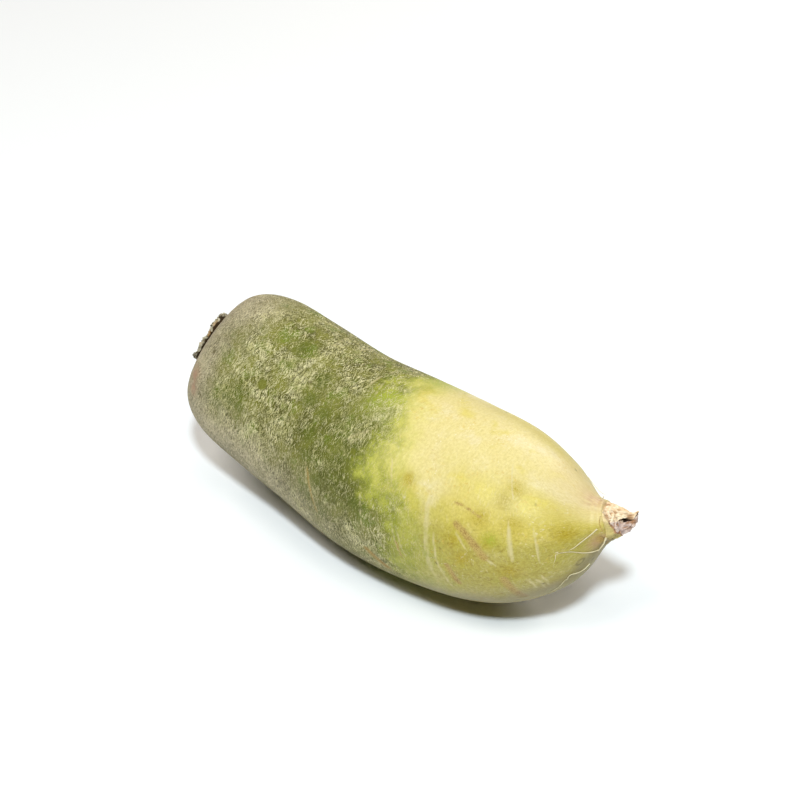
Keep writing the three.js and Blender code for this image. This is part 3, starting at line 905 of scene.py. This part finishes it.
crown_end, crown_handle, neck_handle, neck_end = SPINE * MM
root = grow("root_body", root_grid, sweep, {
    "Crown": crown_end, "Crown handle": crown_handle, "Neck handle": neck_handle, "Neck": neck_end,
    "Broad unevenness": BROAD_UNEVENNESS * MM, "Fine unevenness": FINE_UNEVENNESS * MM, "Finish": skin})
low, high = np.array(root.bound_box).min(0) / MM, np.array(root.bound_box).max(0) / MM
print("root:", len(root.data.polygons), "faces, from", low.round(1), "to", high.round(1), "mm")

# %% [markdown]
# ## The dried tip
# Where the thin tail root was torn off, the flesh has shrivelled into a fluted stub that
# splits in two lobes with a dark cleft between them. Three closed lofts give the mass, a
# voxel remesh melts them into one body, and a noise that is drawn out lengthwise pushes the
# skin in and out like drying flesh. How deep each point lies is stored for the paint.

# %% Measures of the dried tip
# rows of forward, up the cleft, across, radius, from the neck's middle
TIP_CONE = [(-6.0, -0.3, 0.0, 6.2), (-1.5, -0.5, 0.0, 7.0), (0.4, -0.5, 0.0, 7.0), (2.0, -0.6, 0.1, 6.5),
            (3.6, -0.7, 0.0, 5.3), (4.6, -0.8, 0.0, 3.4)]
TIP_LOBE_UP = [(0.0, 2.7, 0.2, 3.8), (2.6, 2.1, 0.3, 3.4), (5.3, 1.4, 0.1, 2.8), (7.6, 0.7, -0.2, 2.15),
               (9.7, 0.3, -0.3, 1.5), (11.3, 0.85, -0.2, 0.85), (12.1, 1.4, -0.1, 0.4)]
TIP_LOBE_DOWN = [(-1.0, -4.2, -0.2, 3.2), (1.5, -4.0, -0.3, 3.0), (4.3, -3.6, -0.3, 2.7),
                 (6.9, -3.1, 0.0, 2.35), (9.1, -2.4, 0.2, 1.75), (10.6, -1.5, 0.2, 1.25),
                 (11.4, -0.5, 0.1, 0.75), (11.8, 0.1, 0.0, 0.45)]
TIP_ROLL, TIP_SIDES, RINGS_A_ROW = 37.0, 40, 6
FLUTES, FLUTE_DEPTH = 5, 0.07
LOBE_FLATNESS = 0.97  # the lobes are thinner across the cleft than along it

neck_middle, neck_forward = (v[0] for v in spine_at(1.0))
neck_up, neck_right = across_frame(neck_forward)
cleft_up = neck_up * math.cos(math.radians(TIP_ROLL)) - neck_right * math.sin(math.radians(TIP_ROLL))
cleft_across = np.cross(neck_forward, cleft_up)
print("the tip points along", neck_forward.round(2))

# %% [markdown]
# A loft is a skin over rings of points. The rows above are only its stations: a cubic puts
# smooth rings between them, and a cosine flutes each ring like a drying stalk.

# %% A fluted loft
def smooth_rows(rows, between):
    """Rows with extra ones between them, on a curve that passes through each."""
    rows = np.array(rows)
    padded = np.vstack([2 * rows[0] - rows[1], rows, 2 * rows[-1] - rows[-2]])
    fine = [curve_through(*padded[k:k + 4], f)
            for k in range(len(rows) - 1) for f in np.arange(between) / between]
    return np.array([*fine, rows[-1]])


def closed_loft(rings, last_sunk=0.0):
    """Points and faces of a skin over rings of points, closed at both ends."""
    points = np.vstack([*rings, rings[0].mean(0), rings[-1].mean(0) - [0, 0, last_sunk]])
    return points, closed_grid(len(rings), len(rings[0]))


def tip_loft(rows, flute_phase, flatness):
    """One fluted loft of the tip, in millimetres."""
    angle = np.arange(TIP_SIDES) * 2 * math.pi / TIP_SIDES
    fluted = 1 + FLUTE_DEPTH * np.cos(FLUTES * angle + flute_phase)
    rings = []
    for forward, up, across, radius in smooth_rows(rows, RINGS_A_ROW):
        middle = neck_middle + forward * neck_forward + up * cleft_up + across * cleft_across
        high, wide = radius * flatness * fluted * np.cos(angle), radius * fluted * np.sin(angle)
        rings.append(middle + high[:, None] * cleft_up + wide[:, None] * cleft_across)
    return closed_loft(rings)


# %% [markdown]
# Two cones that only touch would show a hard line between them. The voxel remesh wraps the
# three lofts in one skin with no inside faces, which is also what makes the wrinkles below
# possible: they need small, even faces.

# %% The dried tip's mass
def mesh_piece(name, parts):
    """One object from several (points in millimetres, faces) lists."""
    points, faces = [], []
    for part_points, part_faces in parts:
        first = len(points)
        points.extend(np.asarray(part_points) * MM)
        faces.extend([tuple(first + i for i in face) for face in part_faces])
    mesh = bpy.data.meshes.new(name)
    mesh.from_pydata([tuple(p) for p in points], [], faces)
    return set_in_scene(name, mesh)


TIP_VOXEL = 0.20
tip = mesh_piece("dried_tip", [tip_loft(TIP_CONE, 0.4, 1.0), tip_loft(TIP_LOBE_UP, 1.7, LOBE_FLATNESS),
                               tip_loft(TIP_LOBE_DOWN, 3.0, LOBE_FLATNESS)])
melt = tip.modifiers.new("melt", "REMESH")
melt.mode, melt.voxel_size = "VOXEL", TIP_VOXEL * MM
melted = plain_mesh(tip)
tip.modifiers.clear()
tip.data = melted
print("dried tip:", len(tip.data.polygons), "faces")

# %% [markdown]
# Each point of the melted tip is looked up in the neck's own space: how far forward it lies,
# how far up the cleft, and how far to the side. The cleft is a line that is bent in that
# space, and a point lies in it when it is near the line. The noise is read there as well, so
# that it can be drawn out lengthwise.

# %% Where the cleft runs
CLEFT_FROM, CLEFT_HALF_WIDTH = 4.5, 0.17
# how far forward, and how high the cleft runs there
CLEFT_FORWARD, CLEFT_HEIGHT = [0, 4.7, 9.9, 12.2], [-1.0, -1.05, -1.1, 1.0]


def vertex_rows(mesh, what):
    """A mesh's point places ("co") or normals ("normal"), one row a point."""
    flat = np.zeros(len(mesh.vertices) * 3)
    mesh.vertices.foreach_get(what, flat)
    return flat.reshape(-1, 3)


def noise_at(points, stretch, seed=0.0):
    """Noise from -1 to 1 at points, with `stretch` cycles a millimetre along each axis."""
    return np.array([noise.noise(Vector(p * stretch) + Vector((seed, seed, seed))) for p in points])


tip_points = vertex_rows(tip.data, "co") / MM
spot = tip_points - neck_middle
in_neck = np.stack([spot @ neck_forward, spot @ cleft_up, spot @ cleft_across], 1)
forward, up_cleft, _ = in_neck.T
cleft_line = np.interp(forward, CLEFT_FORWARD, CLEFT_HEIGHT)
cleft_begun = np.clip((forward - CLEFT_FROM) / 1.0, 0, 1)
in_cleft = hump(up_cleft, cleft_line, CLEFT_HALF_WIDTH) * cleft_begun
in_cleft = np.maximum(in_cleft, hump(up_cleft, cleft_line + 0.05, 0.40) * hump(forward, 6.0, 1.1))
print((in_cleft > 0.5).sum(), "of", len(in_cleft), "points lie in the cleft")

# %% [markdown]
# Drying flesh draws into long folds. A noise is turned into ridges by taking its size
# without its sign, at two scales, both drawn out lengthwise, and each point is pushed along
# its own normal by that much. The push fades out at the neck, where the skin is still tight.

# %% The dried tip's wrinkles
FOLD_DEPTH, CREASE_DEPTH, CRUMPLE_DEPTH, CLEFT_DEPTH = 0.60, 0.42, 0.22, 0.7
RIDGE_TOP = 0.75  # ridges higher than this stand proud, the rest sinks in

folds = 1 - 2 * np.abs(noise_at(in_neck, np.array([0.16, 0.42, 0.42])))
creases = 1 - 2 * np.abs(noise_at(in_neck, np.array([0.35, 1.0, 1.0]), 7.0))
crumple = noise_at(in_neck, np.array([0.8, 1.2, 1.2]), 3.0)
rumple = FOLD_DEPTH * (folds - RIDGE_TOP) + CREASE_DEPTH * (creases - RIDGE_TOP) + CRUMPLE_DEPTH * crumple
shown = np.clip((forward + 2.0) / 4.5, 0, 1) * np.clip((13.2 - forward) / 3.0, 0.3, 1)
push = (rumple - CLEFT_DEPTH * in_cleft) * shown
pushed = tip_points + push[:, None] * vertex_rows(tip.data, "normal")
tip.data.vertices.foreach_set("co", (pushed * MM).ravel())
tip.data.update()
tip.data.shade_smooth()
print("wrinkled by", push.min().round(2), "to", push.max().round(2), "mm")

# %% [markdown]
# The paint will need to know what each point is: how hollow it lies, whether it is in the
# cleft, how far past the torn collar of skin, and on which lobe.

# %% What the tip's paint needs to know
COLLAR_FORWARD, COLLAR_SLANT = 1.7, 0.32  # where the skin ends, and how its edge leans back
CLEFT_PAINTED, LOBES_BLEND = 0.30, 2.0  # millimetres to each side of the cleft

store(tip.data, "hollow", np.clip(0.35 - rumple + 0.1 * crumple, 0, 1))
store(tip.data, "cleft", np.maximum(in_cleft, hump(up_cleft, cleft_line, CLEFT_PAINTED) * cleft_begun))
store(tip.data, "past_collar", forward + COLLAR_SLANT * up_cleft - COLLAR_FORWARD)
store(tip.data, "upper", np.clip(0.5 + (up_cleft - cleft_line) / LOBES_BLEND, 0, 1))
print("the flesh reaches", round(forward.max() - COLLAR_FORWARD, 1), "mm out of the collar")

# %% [markdown]
# The paint follows the stored depths: cream and orange on the upper lobe, a greyish mauve on
# the lower. The folds turn brown, the dried flesh's colour deepened by painted shade, and the
# cleft is painted nearly black, which is painted shade. Next to the neck it takes the colour of
# the skin, darker on the lower lobe as painted shade, with a torn brown lip where the skin stops.

# %% The dried tip's finish
ORANGE_CREAM, PALE_CREAM = paint(0.80, 0.56, 0.33), paint(0.88, 0.76, 0.55)
DARK_MAUVE, PALE_MAUVE = paint(0.40, 0.29, 0.25), paint(0.70, 0.55, 0.47)
FOLD_BROWN_SHADE, SPECK_BROWN, CLEFT_SHADE_BLACK = (
    paint(0.34, 0.16, 0.06), paint(0.32, 0.17, 0.09), paint(0.035, 0.015, 0.006))
SKIN_BELOW_SHADED, SKIN_ABOVE_LIT = paint(0.52, 0.42, 0.16), paint(0.76, 0.60, 0.32)
LIP_DARK, LIP_RUST = paint(0.10, 0.03, 0.01), paint(0.46, 0.21, 0.08)

dried, on, shader = new_finish("dried_flesh", Roughness=0.75, Specular_IOR_Level=0.2)
place = on.own_place()
upper = on.trait("upper")
mottle, speck = on.noise(place, 500.0, 3.0, 0.6), on.noise(place, 1500.0, 2.0, 0.7)
cream = on.fade(mottle, 0.35, 0.65, ORANGE_CREAM, PALE_CREAM)
mauve = on.fade(mottle, 0.35, 0.65, DARK_MAUVE, PALE_MAUVE)
flesh = on.fade(upper, 0.2, 0.8, mauve, cream)
# Brown in the hollows: the dried flesh's colour, deepened there as painted shade.
flesh = on.mix(on.step(on.trait("hollow"), 0.50, 0.95, 0.0, 0.8), flesh, FOLD_BROWN_SHADE)
past_collar = on.plus(on.trait("past_collar"), on.times(on.less(mottle, 0.5), 3.0))
# The skin next to the neck is darker on the lower lobe: painted shade, as on the root.
flesh = on.fade(past_collar, 0.9, -0.9, flesh, on.mix(upper, SKIN_BELOW_SHADED, SKIN_ABOVE_LIT))
lip = on.times(on.step(past_collar, -0.6, 0.0), on.step(past_collar, 0.9, 0.2))
lip = on.times(lip, on.step(upper, 0.3, 1.0, 0.85, 0.45))
flesh = on.mix(lip, flesh, on.fade(speck, 0.4, 0.6, LIP_DARK, LIP_RUST))
flesh = on.mix(on.times(on.step(speck, 0.60, 0.75), 0.5), flesh, SPECK_BROWN)
# The cleft is painted nearly black: painted shade.
flesh = on.fade(on.trait("cleft"), 0.35, 0.8, flesh, CLEFT_SHADE_BLACK)
wire_up(on, shader, flesh, mottle, strength=0.6, depth=0.0002)
tip.data.materials.append(dried)
print("dried flesh:", len(dried.node_tree.nodes), "nodes")

# %% [markdown]
# ## The cut leaf stalks
# The leaves grew on a spiral, each a golden angle on from the last. What is left of each is
# a dry, crescent-shaped base with a ragged top, and all of them stand on a corky plate in
# the dish of the crown. They are made in the crown's own space, with +Z out of it.

# %% Measures of the leaf stalks
GAP = 0.3  # clearance between the plate and the dish it sits in
PLATE_RADIUS, PLATE_THICK = 12.5, 1.9
STALK_COUNT, DIVERGENCE, SPIRAL_RADIUS, INNER_SHARE = 15, 137.5, 11.4, 0.94
STALK_WIDTH, STALK_SPREAD_MOST = 11.6, 118.0
MIDDLE_THICK, INNER_MIDDLE_THICK, EDGE_THICK = 1.7, 1.3, 0.7
OUTER_HEIGHT, INNER_HEIGHT, UNEVEN, STALK_LEAN, STALK_SINK = 3.4, 2.7, 0.6, 1.6, 0.9
COARSE_STEPS, FINE_STEPS, STALK_LEVELS = 6, 42, 16
VEINS_OUTSIDE, VEINS_INSIDE, CURL = 0.16, 0.10, 0.5

crown_middle, crown_forward = (v[0] for v in spine_at(0.0))
crown_turn = np.array(Vector((0, 0, 1)).rotation_difference(Vector(-crown_forward)).to_matrix())


def on_crown(points):
    """From the crown's own space, +Z out of it, to the root's."""
    raised = np.asarray(points) + [0, 0, GAP - SEAT_DEPTH]
    return raised @ crown_turn.T + crown_middle


def ring_of(radius, angle, z):
    """A ring of points at a radius, angles and a height, in the crown's own space."""
    return np.stack([radius * np.cos(angle), radius * np.sin(angle), z + np.zeros(angle.size)], 1)


print("the crown faces", (-crown_forward).round(2))

# %% [markdown]
# One function makes a base from its place on the spiral. Its plan is a crescent: an outer
# wall and an inner one, close together at the edges and further apart in the middle. From
# level to level the crescent rises, thins and leans outwards; noise tears its top, and the
# finer walls ripple with the stalk's veins.

# %% One cut base
def scatter(i, k):
    """A repeatable number from 0 to 1 for a pair of whole numbers."""
    n = math.sin(i * 12.9898 + k * 78.233) * 43758.5453
    return n - math.floor(n)


def stalk_base(k):
    """Points and faces of one cut base, and its height share and inner side per point."""
    inward = k / (STALK_COUNT - 1)
    radius = SPIRAL_RADIUS * math.sqrt(1 - INNER_SHARE * inward)
    facing = math.radians(DIVERGENCE * k + 8 * (scatter(1, k) - 0.5))
    half = min(STALK_WIDTH / radius, math.radians(STALK_SPREAD_MOST)) / 2
    across = np.linspace(-1, 1, FINE_STEPS + 1)
    coarse = [1 + UNEVEN * (scatter(k + 2, i) - 0.5) for i in range(COARSE_STEPS + 1)]
    uneven_top = np.interp(across, np.linspace(-1, 1, COARSE_STEPS + 1), coarse)
    bulge = 1 - across**2
    middle_thick = MIDDLE_THICK + (INNER_MIDDLE_THICK - MIDDLE_THICK) * inward
    height = (OUTER_HEIGHT + (INNER_HEIGHT - OUTER_HEIGHT) * inward) * uneven_top * (0.82 + 0.18 * bulge)
    seeds = [Vector((a * half * radius, 3.1 * k, 0.0)) for a in across]
    torn = np.array([0.55 * noise.noise(s * 1.3) + 0.45 * noise.noise(s * 3.7) for s in seeds])
    veins = np.array([noise.noise(s * 2.4 + Vector((0, 0, 5))) for s in seeds])
    curl = np.array([noise.noise(s * 0.5 + Vector((0, 0, 9))) for s in seeds])
    there_and_back = facing + half * np.concatenate([across, across[::-1]])
    rings = []
    for level in np.linspace(0, 1, STALK_LEVELS):
        z = PLATE_THICK - STALK_SINK + (STALK_SINK + height) * level + (torn - 0.45) * level**3
        thick = EDGE_THICK * (1 - 0.35 * level) + (middle_thick - EDGE_THICK) * bulge * (1 - level)
        out = radius + 0.3 * (bulge - 1) + STALK_LEAN * (1 - inward) * level**2 + CURL * curl * level**2
        outer, inner = out + thick / 2 + VEINS_OUTSIDE * veins, out - thick / 2 - VEINS_INSIDE * veins
        wall = np.concatenate([outer, inner[::-1]])
        rings.append(ring_of(wall, there_and_back, np.concatenate([z, z[::-1]])))
    share_up = np.repeat(np.linspace(0, 1, STALK_LEVELS), 2 * across.size)
    inner_side = np.tile(np.repeat([0.0, 1.0], across.size), STALK_LEVELS)
    return (*closed_loft(rings, last_sunk=0.5), [*share_up, 0.0, 0.9], [*inner_side, 0.0, 1.0])


# %% [markdown]
# The stalks stand on a corky plate, and a dried bud is left in the middle of the spiral.
# Plate, bud and bases share one finish, so they are put together as one piece. Two values go
# with every point: how high it is on its stalk, and whether it faces the middle.

# %% The leaf stalks' plate and bud
PLATE_SIDES, PLATE_RINGS = 96, 18
GROWTH_RINGS, GROWTH_RING_HEIGHT, LUMPS, LUMP_HEIGHT = 26, 0.12, 9, 0.5
BUD_SIDES, BUD_LEVELS, BUD_RADIUS, BUD_TIP, BUD_HEIGHT = 24, 9, 1.9, 0.15, 3.4
BUD_RIBS, BUD_RIB_DEPTH, BUD_TWIST = 5, 0.16, 2.5


def crown_disc():
    """The corky plate that carries the stalks: a low, lumpy disc with growth rings."""
    profile = [(0.5, 0.0), (1.0, 0.0), (1.0, 0.5), (0.99, 0.95), (0.95, 1.0)]
    profile += [(share, 1.0) for share in np.linspace(0.9, 0.06, PLATE_RINGS)]
    angle = np.arange(PLATE_SIDES) * 2 * math.pi / PLATE_SIDES
    rings = []
    for share, level in profile:
        spots = [Vector((share * LUMPS * math.cos(a), share * LUMPS * math.sin(a), 2.0)) for a in angle]
        lumps = LUMP_HEIGHT * (np.array([noise.noise(spot) for spot in spots]) - 0.5)
        on_top = (lumps + GROWTH_RING_HEIGHT * math.sin(GROWTH_RINGS * share)) * (level == 1.0)
        rings.append(ring_of(PLATE_RADIUS * share, angle, PLATE_THICK * level + on_top))
    points, faces = closed_loft(rings)
    # The plate's height share is low everywhere, so its paint is the near-black painted shade.
    return points, faces, np.full(len(points), 0.1), np.ones(len(points))


def heart_bud():
    """The dried bud in the middle of the crown: a ribbed, twisted cone."""
    angle = np.arange(BUD_SIDES) * 2 * math.pi / BUD_SIDES
    rings = []
    for level in np.linspace(0, 1, BUD_LEVELS):
        ribs = 1 + BUD_RIB_DEPTH * np.sin(BUD_RIBS * angle + BUD_TWIST * level)
        r = (BUD_RADIUS * (1 - level) ** 0.7 + BUD_TIP) * ribs
        rings.append(ring_of(r, angle, PLATE_THICK - STALK_SINK + BUD_HEIGHT * level))
    points, faces = closed_loft(rings)
    return points, faces, np.linspace(0.2, 0.9, len(points)), np.zeros(len(points))


crown_parts = [stalk_base(k) for k in range(STALK_COUNT)] + [crown_disc(), heart_bud()]
stalks = mesh_piece("leaf_stalk_bases", [(on_crown(points), faces) for points, faces, *_ in crown_parts])
store(stalks.data, "share_up", np.concatenate([part[2] for part in crown_parts]))
store(stalks.data, "inner_side", np.concatenate([part[3] for part in crown_parts]))
stalks.data.shade_smooth()
print("leaf stalks:", len(stalks.data.polygons), "faces")

# %% [markdown]
# Outside, a dead stalk is a mottled grey-tan with rusty spots; inside, it is brown. Low down on
# the stalks, over the whole plate and at the foot of the bud it is painted nearly black: painted
# shade at the bottom of the dish. Fibre noise, drawn out a little, gives the paper-dry grain.

# %% The leaf stalks' finish
OUTSIDE_DARK, OUTSIDE_PALE = paint(0.19, 0.155, 0.09), paint(0.58, 0.52, 0.37)
INSIDE_DARK, INSIDE_PALE = paint(0.18, 0.095, 0.035), paint(0.46, 0.29, 0.13)
RUST, FIBRE_BROWN = paint(0.50, 0.27, 0.10), paint(0.12, 0.08, 0.035)
TORN_PALE, SHADE_BLACK = paint(0.66, 0.60, 0.46), paint(0.030, 0.016, 0.004)

husk, on, shader = new_finish("dry_leaf_stalk", Roughness=0.85, Specular_IOR_Level=0.2)
place = on.own_place()
share_up = on.trait("share_up")
mottle = on.noise(place, 380.0, 3.0, 0.6)
fibre = on.noise(on.vector("MULTIPLY", place, (0.35, 1.0, 1.0)), 1500.0, 2.0, 0.6)
outside = on.fade(mottle, 0.40, 0.60, OUTSIDE_DARK, OUTSIDE_PALE)
outside = on.mix(on.step(on.noise(place, 210.0, 2.0), 0.54, 0.64, 0.0, 0.8), outside, RUST)
inside = on.fade(mottle, 0.35, 0.65, INSIDE_DARK, INSIDE_PALE)
dry = on.mix(on.trait("inner_side"), outside, inside)
dry = on.mix(on.times(on.step(fibre, 0.50, 0.66), 0.5), dry, FIBRE_BROWN)
dry = on.mix(on.step(share_up, 0.86, 1.0, 0.0, 0.7), dry, TORN_PALE)
# Painted shade: below a ragged line low on each stalk, and over the plate, the paint turns nearly black.
ragged_shade_line = on.plus(share_up, on.times(on.less(mottle, 0.5), 0.5))
dry = on.fade(ragged_shade_line, 0.72, 0.55, dry, SHADE_BLACK)
wire_up(on, shader, dry, fibre, strength=0.7, depth=0.0002)
stalks.data.materials.append(husk)
print("dry leaf stalk:", len(husk.node_tree.nodes), "nodes")

# %% [markdown]
# ## Fine roots
# Thread-thin side roots cling to the tail, and a few stand off round the dried tip. Each is
# a path of places on the skin. The ones that show most are listed place by place; a seeded
# die scatters a few more hairs under the tail, the same ones every time.

# %% Paths of the fine roots
# share along the root, degrees from the top, millimetres off the skin; then the thickness
CLINGING_ROOTS = [
    ([(0.989, 72, 0.1), (0.976, 80.5, 0.3), (0.955, 88, 0.15), (0.945, 89, 0.0)], 0.60),
    ([(0.976, 132, 0.3), (0.961, 107.5, 0.3), (0.949, 93, 0.3), (0.936, 87.5, 0.2), (0.928, 87, 0.0)], 0.50),
    ([(0.928, 87, 0.1), (0.926, 92, 0.2), (0.922, 96, 0.0)], 0.34),
    ([(0.953, 143, 0.2), (0.942, 138, 0.3), (0.931, 126, 0.2), (0.922, 130, 0.1), (0.920, 129, 0.1),
      (0.905, 135, 0.2), (0.887, 141, 0.0)], 0.55),
    ([(0.997, 104, 0.4), (0.989, 117, 1.1), (0.978, 128, 0.7), (0.972, 134, 0.2)], 0.80),
    ([(0.996, 112, 0.2), (0.984, 124, 0.5), (0.972, 138, 0.3)], 0.40),
    ([(0.930, 291, 0.1), (0.950, 290, 0.7), (0.967, 291, 1.5), (0.982, 297, 2.0), (0.992, 308, 2.0),
      (0.998, 322, 1.6)], 0.34),
    ([(0.984, 300, 0.3), (0.992, 315, 1.0), (0.996, 332, 1.4), (0.999, 350, 1.2)], 0.30),
    ([(0.880, 210, 0.1), (0.900, 222, 0.3), (0.935, 226, 0.3), (0.960, 240, 0.1)], 0.44),
    ([(0.945, 250, 0.1), (0.965, 262, 0.6), (0.990, 270, 0.3)], 0.36),
]
HAIR_COUNT = 5
POINTS_A_STEP, TAPER = 10, 0.75

die = random.Random(4)
threads = list(CLINGING_ROOTS)
for _ in range(HAIR_COUNT):
    turn = die.uniform(-160, -60)
    start = die.uniform(0.955, 0.992)
    lift, sway = die.uniform(0.6, 1.4), die.uniform(-25, 25)
    hair = [(start, turn, 0.0), (start + 0.012, turn + 0.3 * sway, lift),
            (min(start + 0.03, 1.0), turn + 0.7 * sway, 0.7 * lift),
            (min(start + 0.05, 1.0), turn + sway, 0.2)]
    threads.append((hair, die.uniform(0.12, 0.2)))
print(len(threads), "threads")

# %% [markdown]
# The paths become one mesh of nothing but points and edges, with a thickness stored at every
# point, thick where the thread leaves the skin and thin at its end.

# %% The threads as paths
points, edges, thickness = [], [], []
for path, thick in threads:
    fine = smooth_rows(path, POINTS_A_STEP)
    run = skin_point(fine[:, 0], np.radians(fine[:, 1]), fine[:, 2])
    edges.extend((len(points) + i, len(points) + i + 1) for i in range(len(run) - 1))
    points.extend(run * MM)
    thickness.extend(0.5 * thick * MM * (1 - TAPER * np.linspace(0, 1, len(run))))
paths = bpy.data.meshes.new("fine_root_paths")
paths.from_pydata([tuple(p) for p in points], edges, [])
store(paths, "thickness", thickness)
print("the paths have", len(points), "points")

# %% [markdown]
# Curve to Mesh sweeps a ring along every thread at once and takes its size from the stored
# thickness. Six sides are enough for a thread that is half a millimetre thick.

# %% Threads along the paths
THREAD_SIDES = 6
THREAD_BROWN, THREAD_PALE = paint(0.50, 0.40, 0.20), paint(0.85, 0.78, 0.52)

rootlet, on, shader = new_finish("fine_root", Roughness=0.6)
wire_up(on, shader, on.mix(on.noise(on.own_place(), 700.0, 2.0), THREAD_BROWN, THREAD_PALE))

spin, given = new_tree("spin_fine_roots", {"Sides": "Int", "Finish": "Material"})
curves = spin.put("GeometryNodeMeshToCurve", {"Mesh": given["Geometry"]}).outputs[0]
ring = spin.put("GeometryNodeCurvePrimitiveCircle", {"Resolution": given["Sides"], "Radius": 1.0}).outputs[0]
tubes = spin.put("GeometryNodeCurveToMesh", {"Curve": curves, "Profile Curve": ring, "Fill Caps": True,
                                             "Scale": named(spin, "thickness")}).outputs[0]
close_tree(spin, tubes, given["Finish"])
fine_roots = grow("fine_roots", paths, spin, {"Sides": THREAD_SIDES, "Finish": rootlet})
print("fine roots:", len(fine_roots.data.polygons), "faces")

# %% [markdown]
# ## Floor, camera and light
# A studio table is a plain pale floor, wide enough to fill the view.

# %% The floor
FLOOR_SIZE = 6.0

bpy.ops.mesh.primitive_plane_add(size=FLOOR_SIZE)
floor = bpy.context.object
floor.name = "floor"
table, _, _ = new_finish("white_table", Base_Color=paint(0.93, 0.94, 0.96), Roughness=0.8)
floor.data.materials.append(table)
print("floor:", FLOOR_SIZE, "m wide")

# %% [markdown]
# The camera stands above the near side and to the right of it, with a long lens, so that the
# root is hardly distorted. Camera and lamps are placed the same way: a compass bearing, a
# height in degrees and a distance from the place they look at.

# %% The camera
CAMERA_BEARING, CAMERA_HEIGHT, CAMERA_DISTANCE = 36.25, 38.0, 0.8122
CAMERA_AIM = (-0.02693, 0.03928, 0.0350)
LENS, SENSOR, NEAREST_SEEN = 85.0, 36.0, 0.01  # millimetres, millimetres, metres


def aim_at(viewer, target, bearing, height, distance):
    """Puts a camera or a lamp where it looks at a place from a bearing and a height."""
    turn, rise = math.radians(bearing), math.radians(height)
    back = Vector((math.sin(turn) * math.cos(rise), -math.cos(turn) * math.cos(rise), math.sin(rise)))
    viewer.location = Vector(target) + back * distance
    viewer.rotation_euler = back.to_track_quat("Z", "Y").to_euler()


camera = set_in_scene("camera", bpy.data.cameras.new("camera"))
camera.data.lens, camera.data.sensor_width, camera.data.clip_start = LENS, SENSOR, NEAREST_SEEN
aim_at(camera, CAMERA_AIM, CAMERA_BEARING, CAMERA_HEIGHT, CAMERA_DISTANCE)
bpy.context.scene.camera = camera
print("the camera stands", round(camera.location.z, 2), "m above the table")

# %% [markdown]
# One small lamp high above the camera's shoulder gives the root its form and its narrow
# shadow. Four wide, weak and warmer lamps fill in from both sides and from behind, so that
# no side goes dark. The world adds only a trace of light, which keeps the shadow crisp.

# %% The light
COOL, WARM = (0.86, 0.98, 1.05), (1.0, 0.95, 0.87)
LAMP_AIM = (0, 0, 0.03)
# name, bearing, height in degrees, distance and size in metres, power in watts, tint
LAMPS = [("key", 37.0, 58.0, 1.30, 0.13, 11.5, COOL),
         ("front_left", -15.0, 62.0, 1.20, 0.42, 4.9, WARM),
         ("front_right", 66.0, 63.0, 1.20, 0.42, 3.1, WARM),
         ("back", 182.0, 28.0, 1.20, 0.60, 6.2, WARM),
         ("left", 256.0, 35.0, 1.20, 0.50, 2.6, WARM)]
WORLD_COLOUR, WORLD_STRENGTH = paint(0.95, 0.97, 1.0), 0.01

for name, bearing, height, distance, size, power, tint in LAMPS:
    lamp = set_in_scene(name, bpy.data.lights.new(name, "AREA"))
    lamp.data.shape, lamp.data.size = "DISK", size
    lamp.data.energy, lamp.data.color = power, tint
    aim_at(lamp, LAMP_AIM, bearing, height, distance)

world = bpy.data.worlds.new("studio")
world.use_nodes = True
background = world.node_tree.nodes["Background"]
background.inputs["Color"].default_value = WORLD_COLOUR
background.inputs["Strength"].default_value = WORLD_STRENGTH
bpy.context.scene.world = world
bpy.context.scene.view_settings.view_transform = "Standard"
print(len(LAMPS), "lamps")

# %% [markdown]
# ## What each piece stands for
# Every piece rides on the one body and takes the place of a solid node, which is hidden.
# The tip and the fine roots grew out of the root, so they belong to its node.

# %% Put each piece on its body and hide the solid it stands for
for piece, node, slot in ((root, "radish_root", "root_skin"), (tip, "radish_root", "root_skin"),
                          (fine_roots, "radish_root", "root_skin"),
                          (stalks, "leaf_stalk_stubs", "dry_leaf_stalk")):
    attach(piece, "root")
    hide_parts(node)
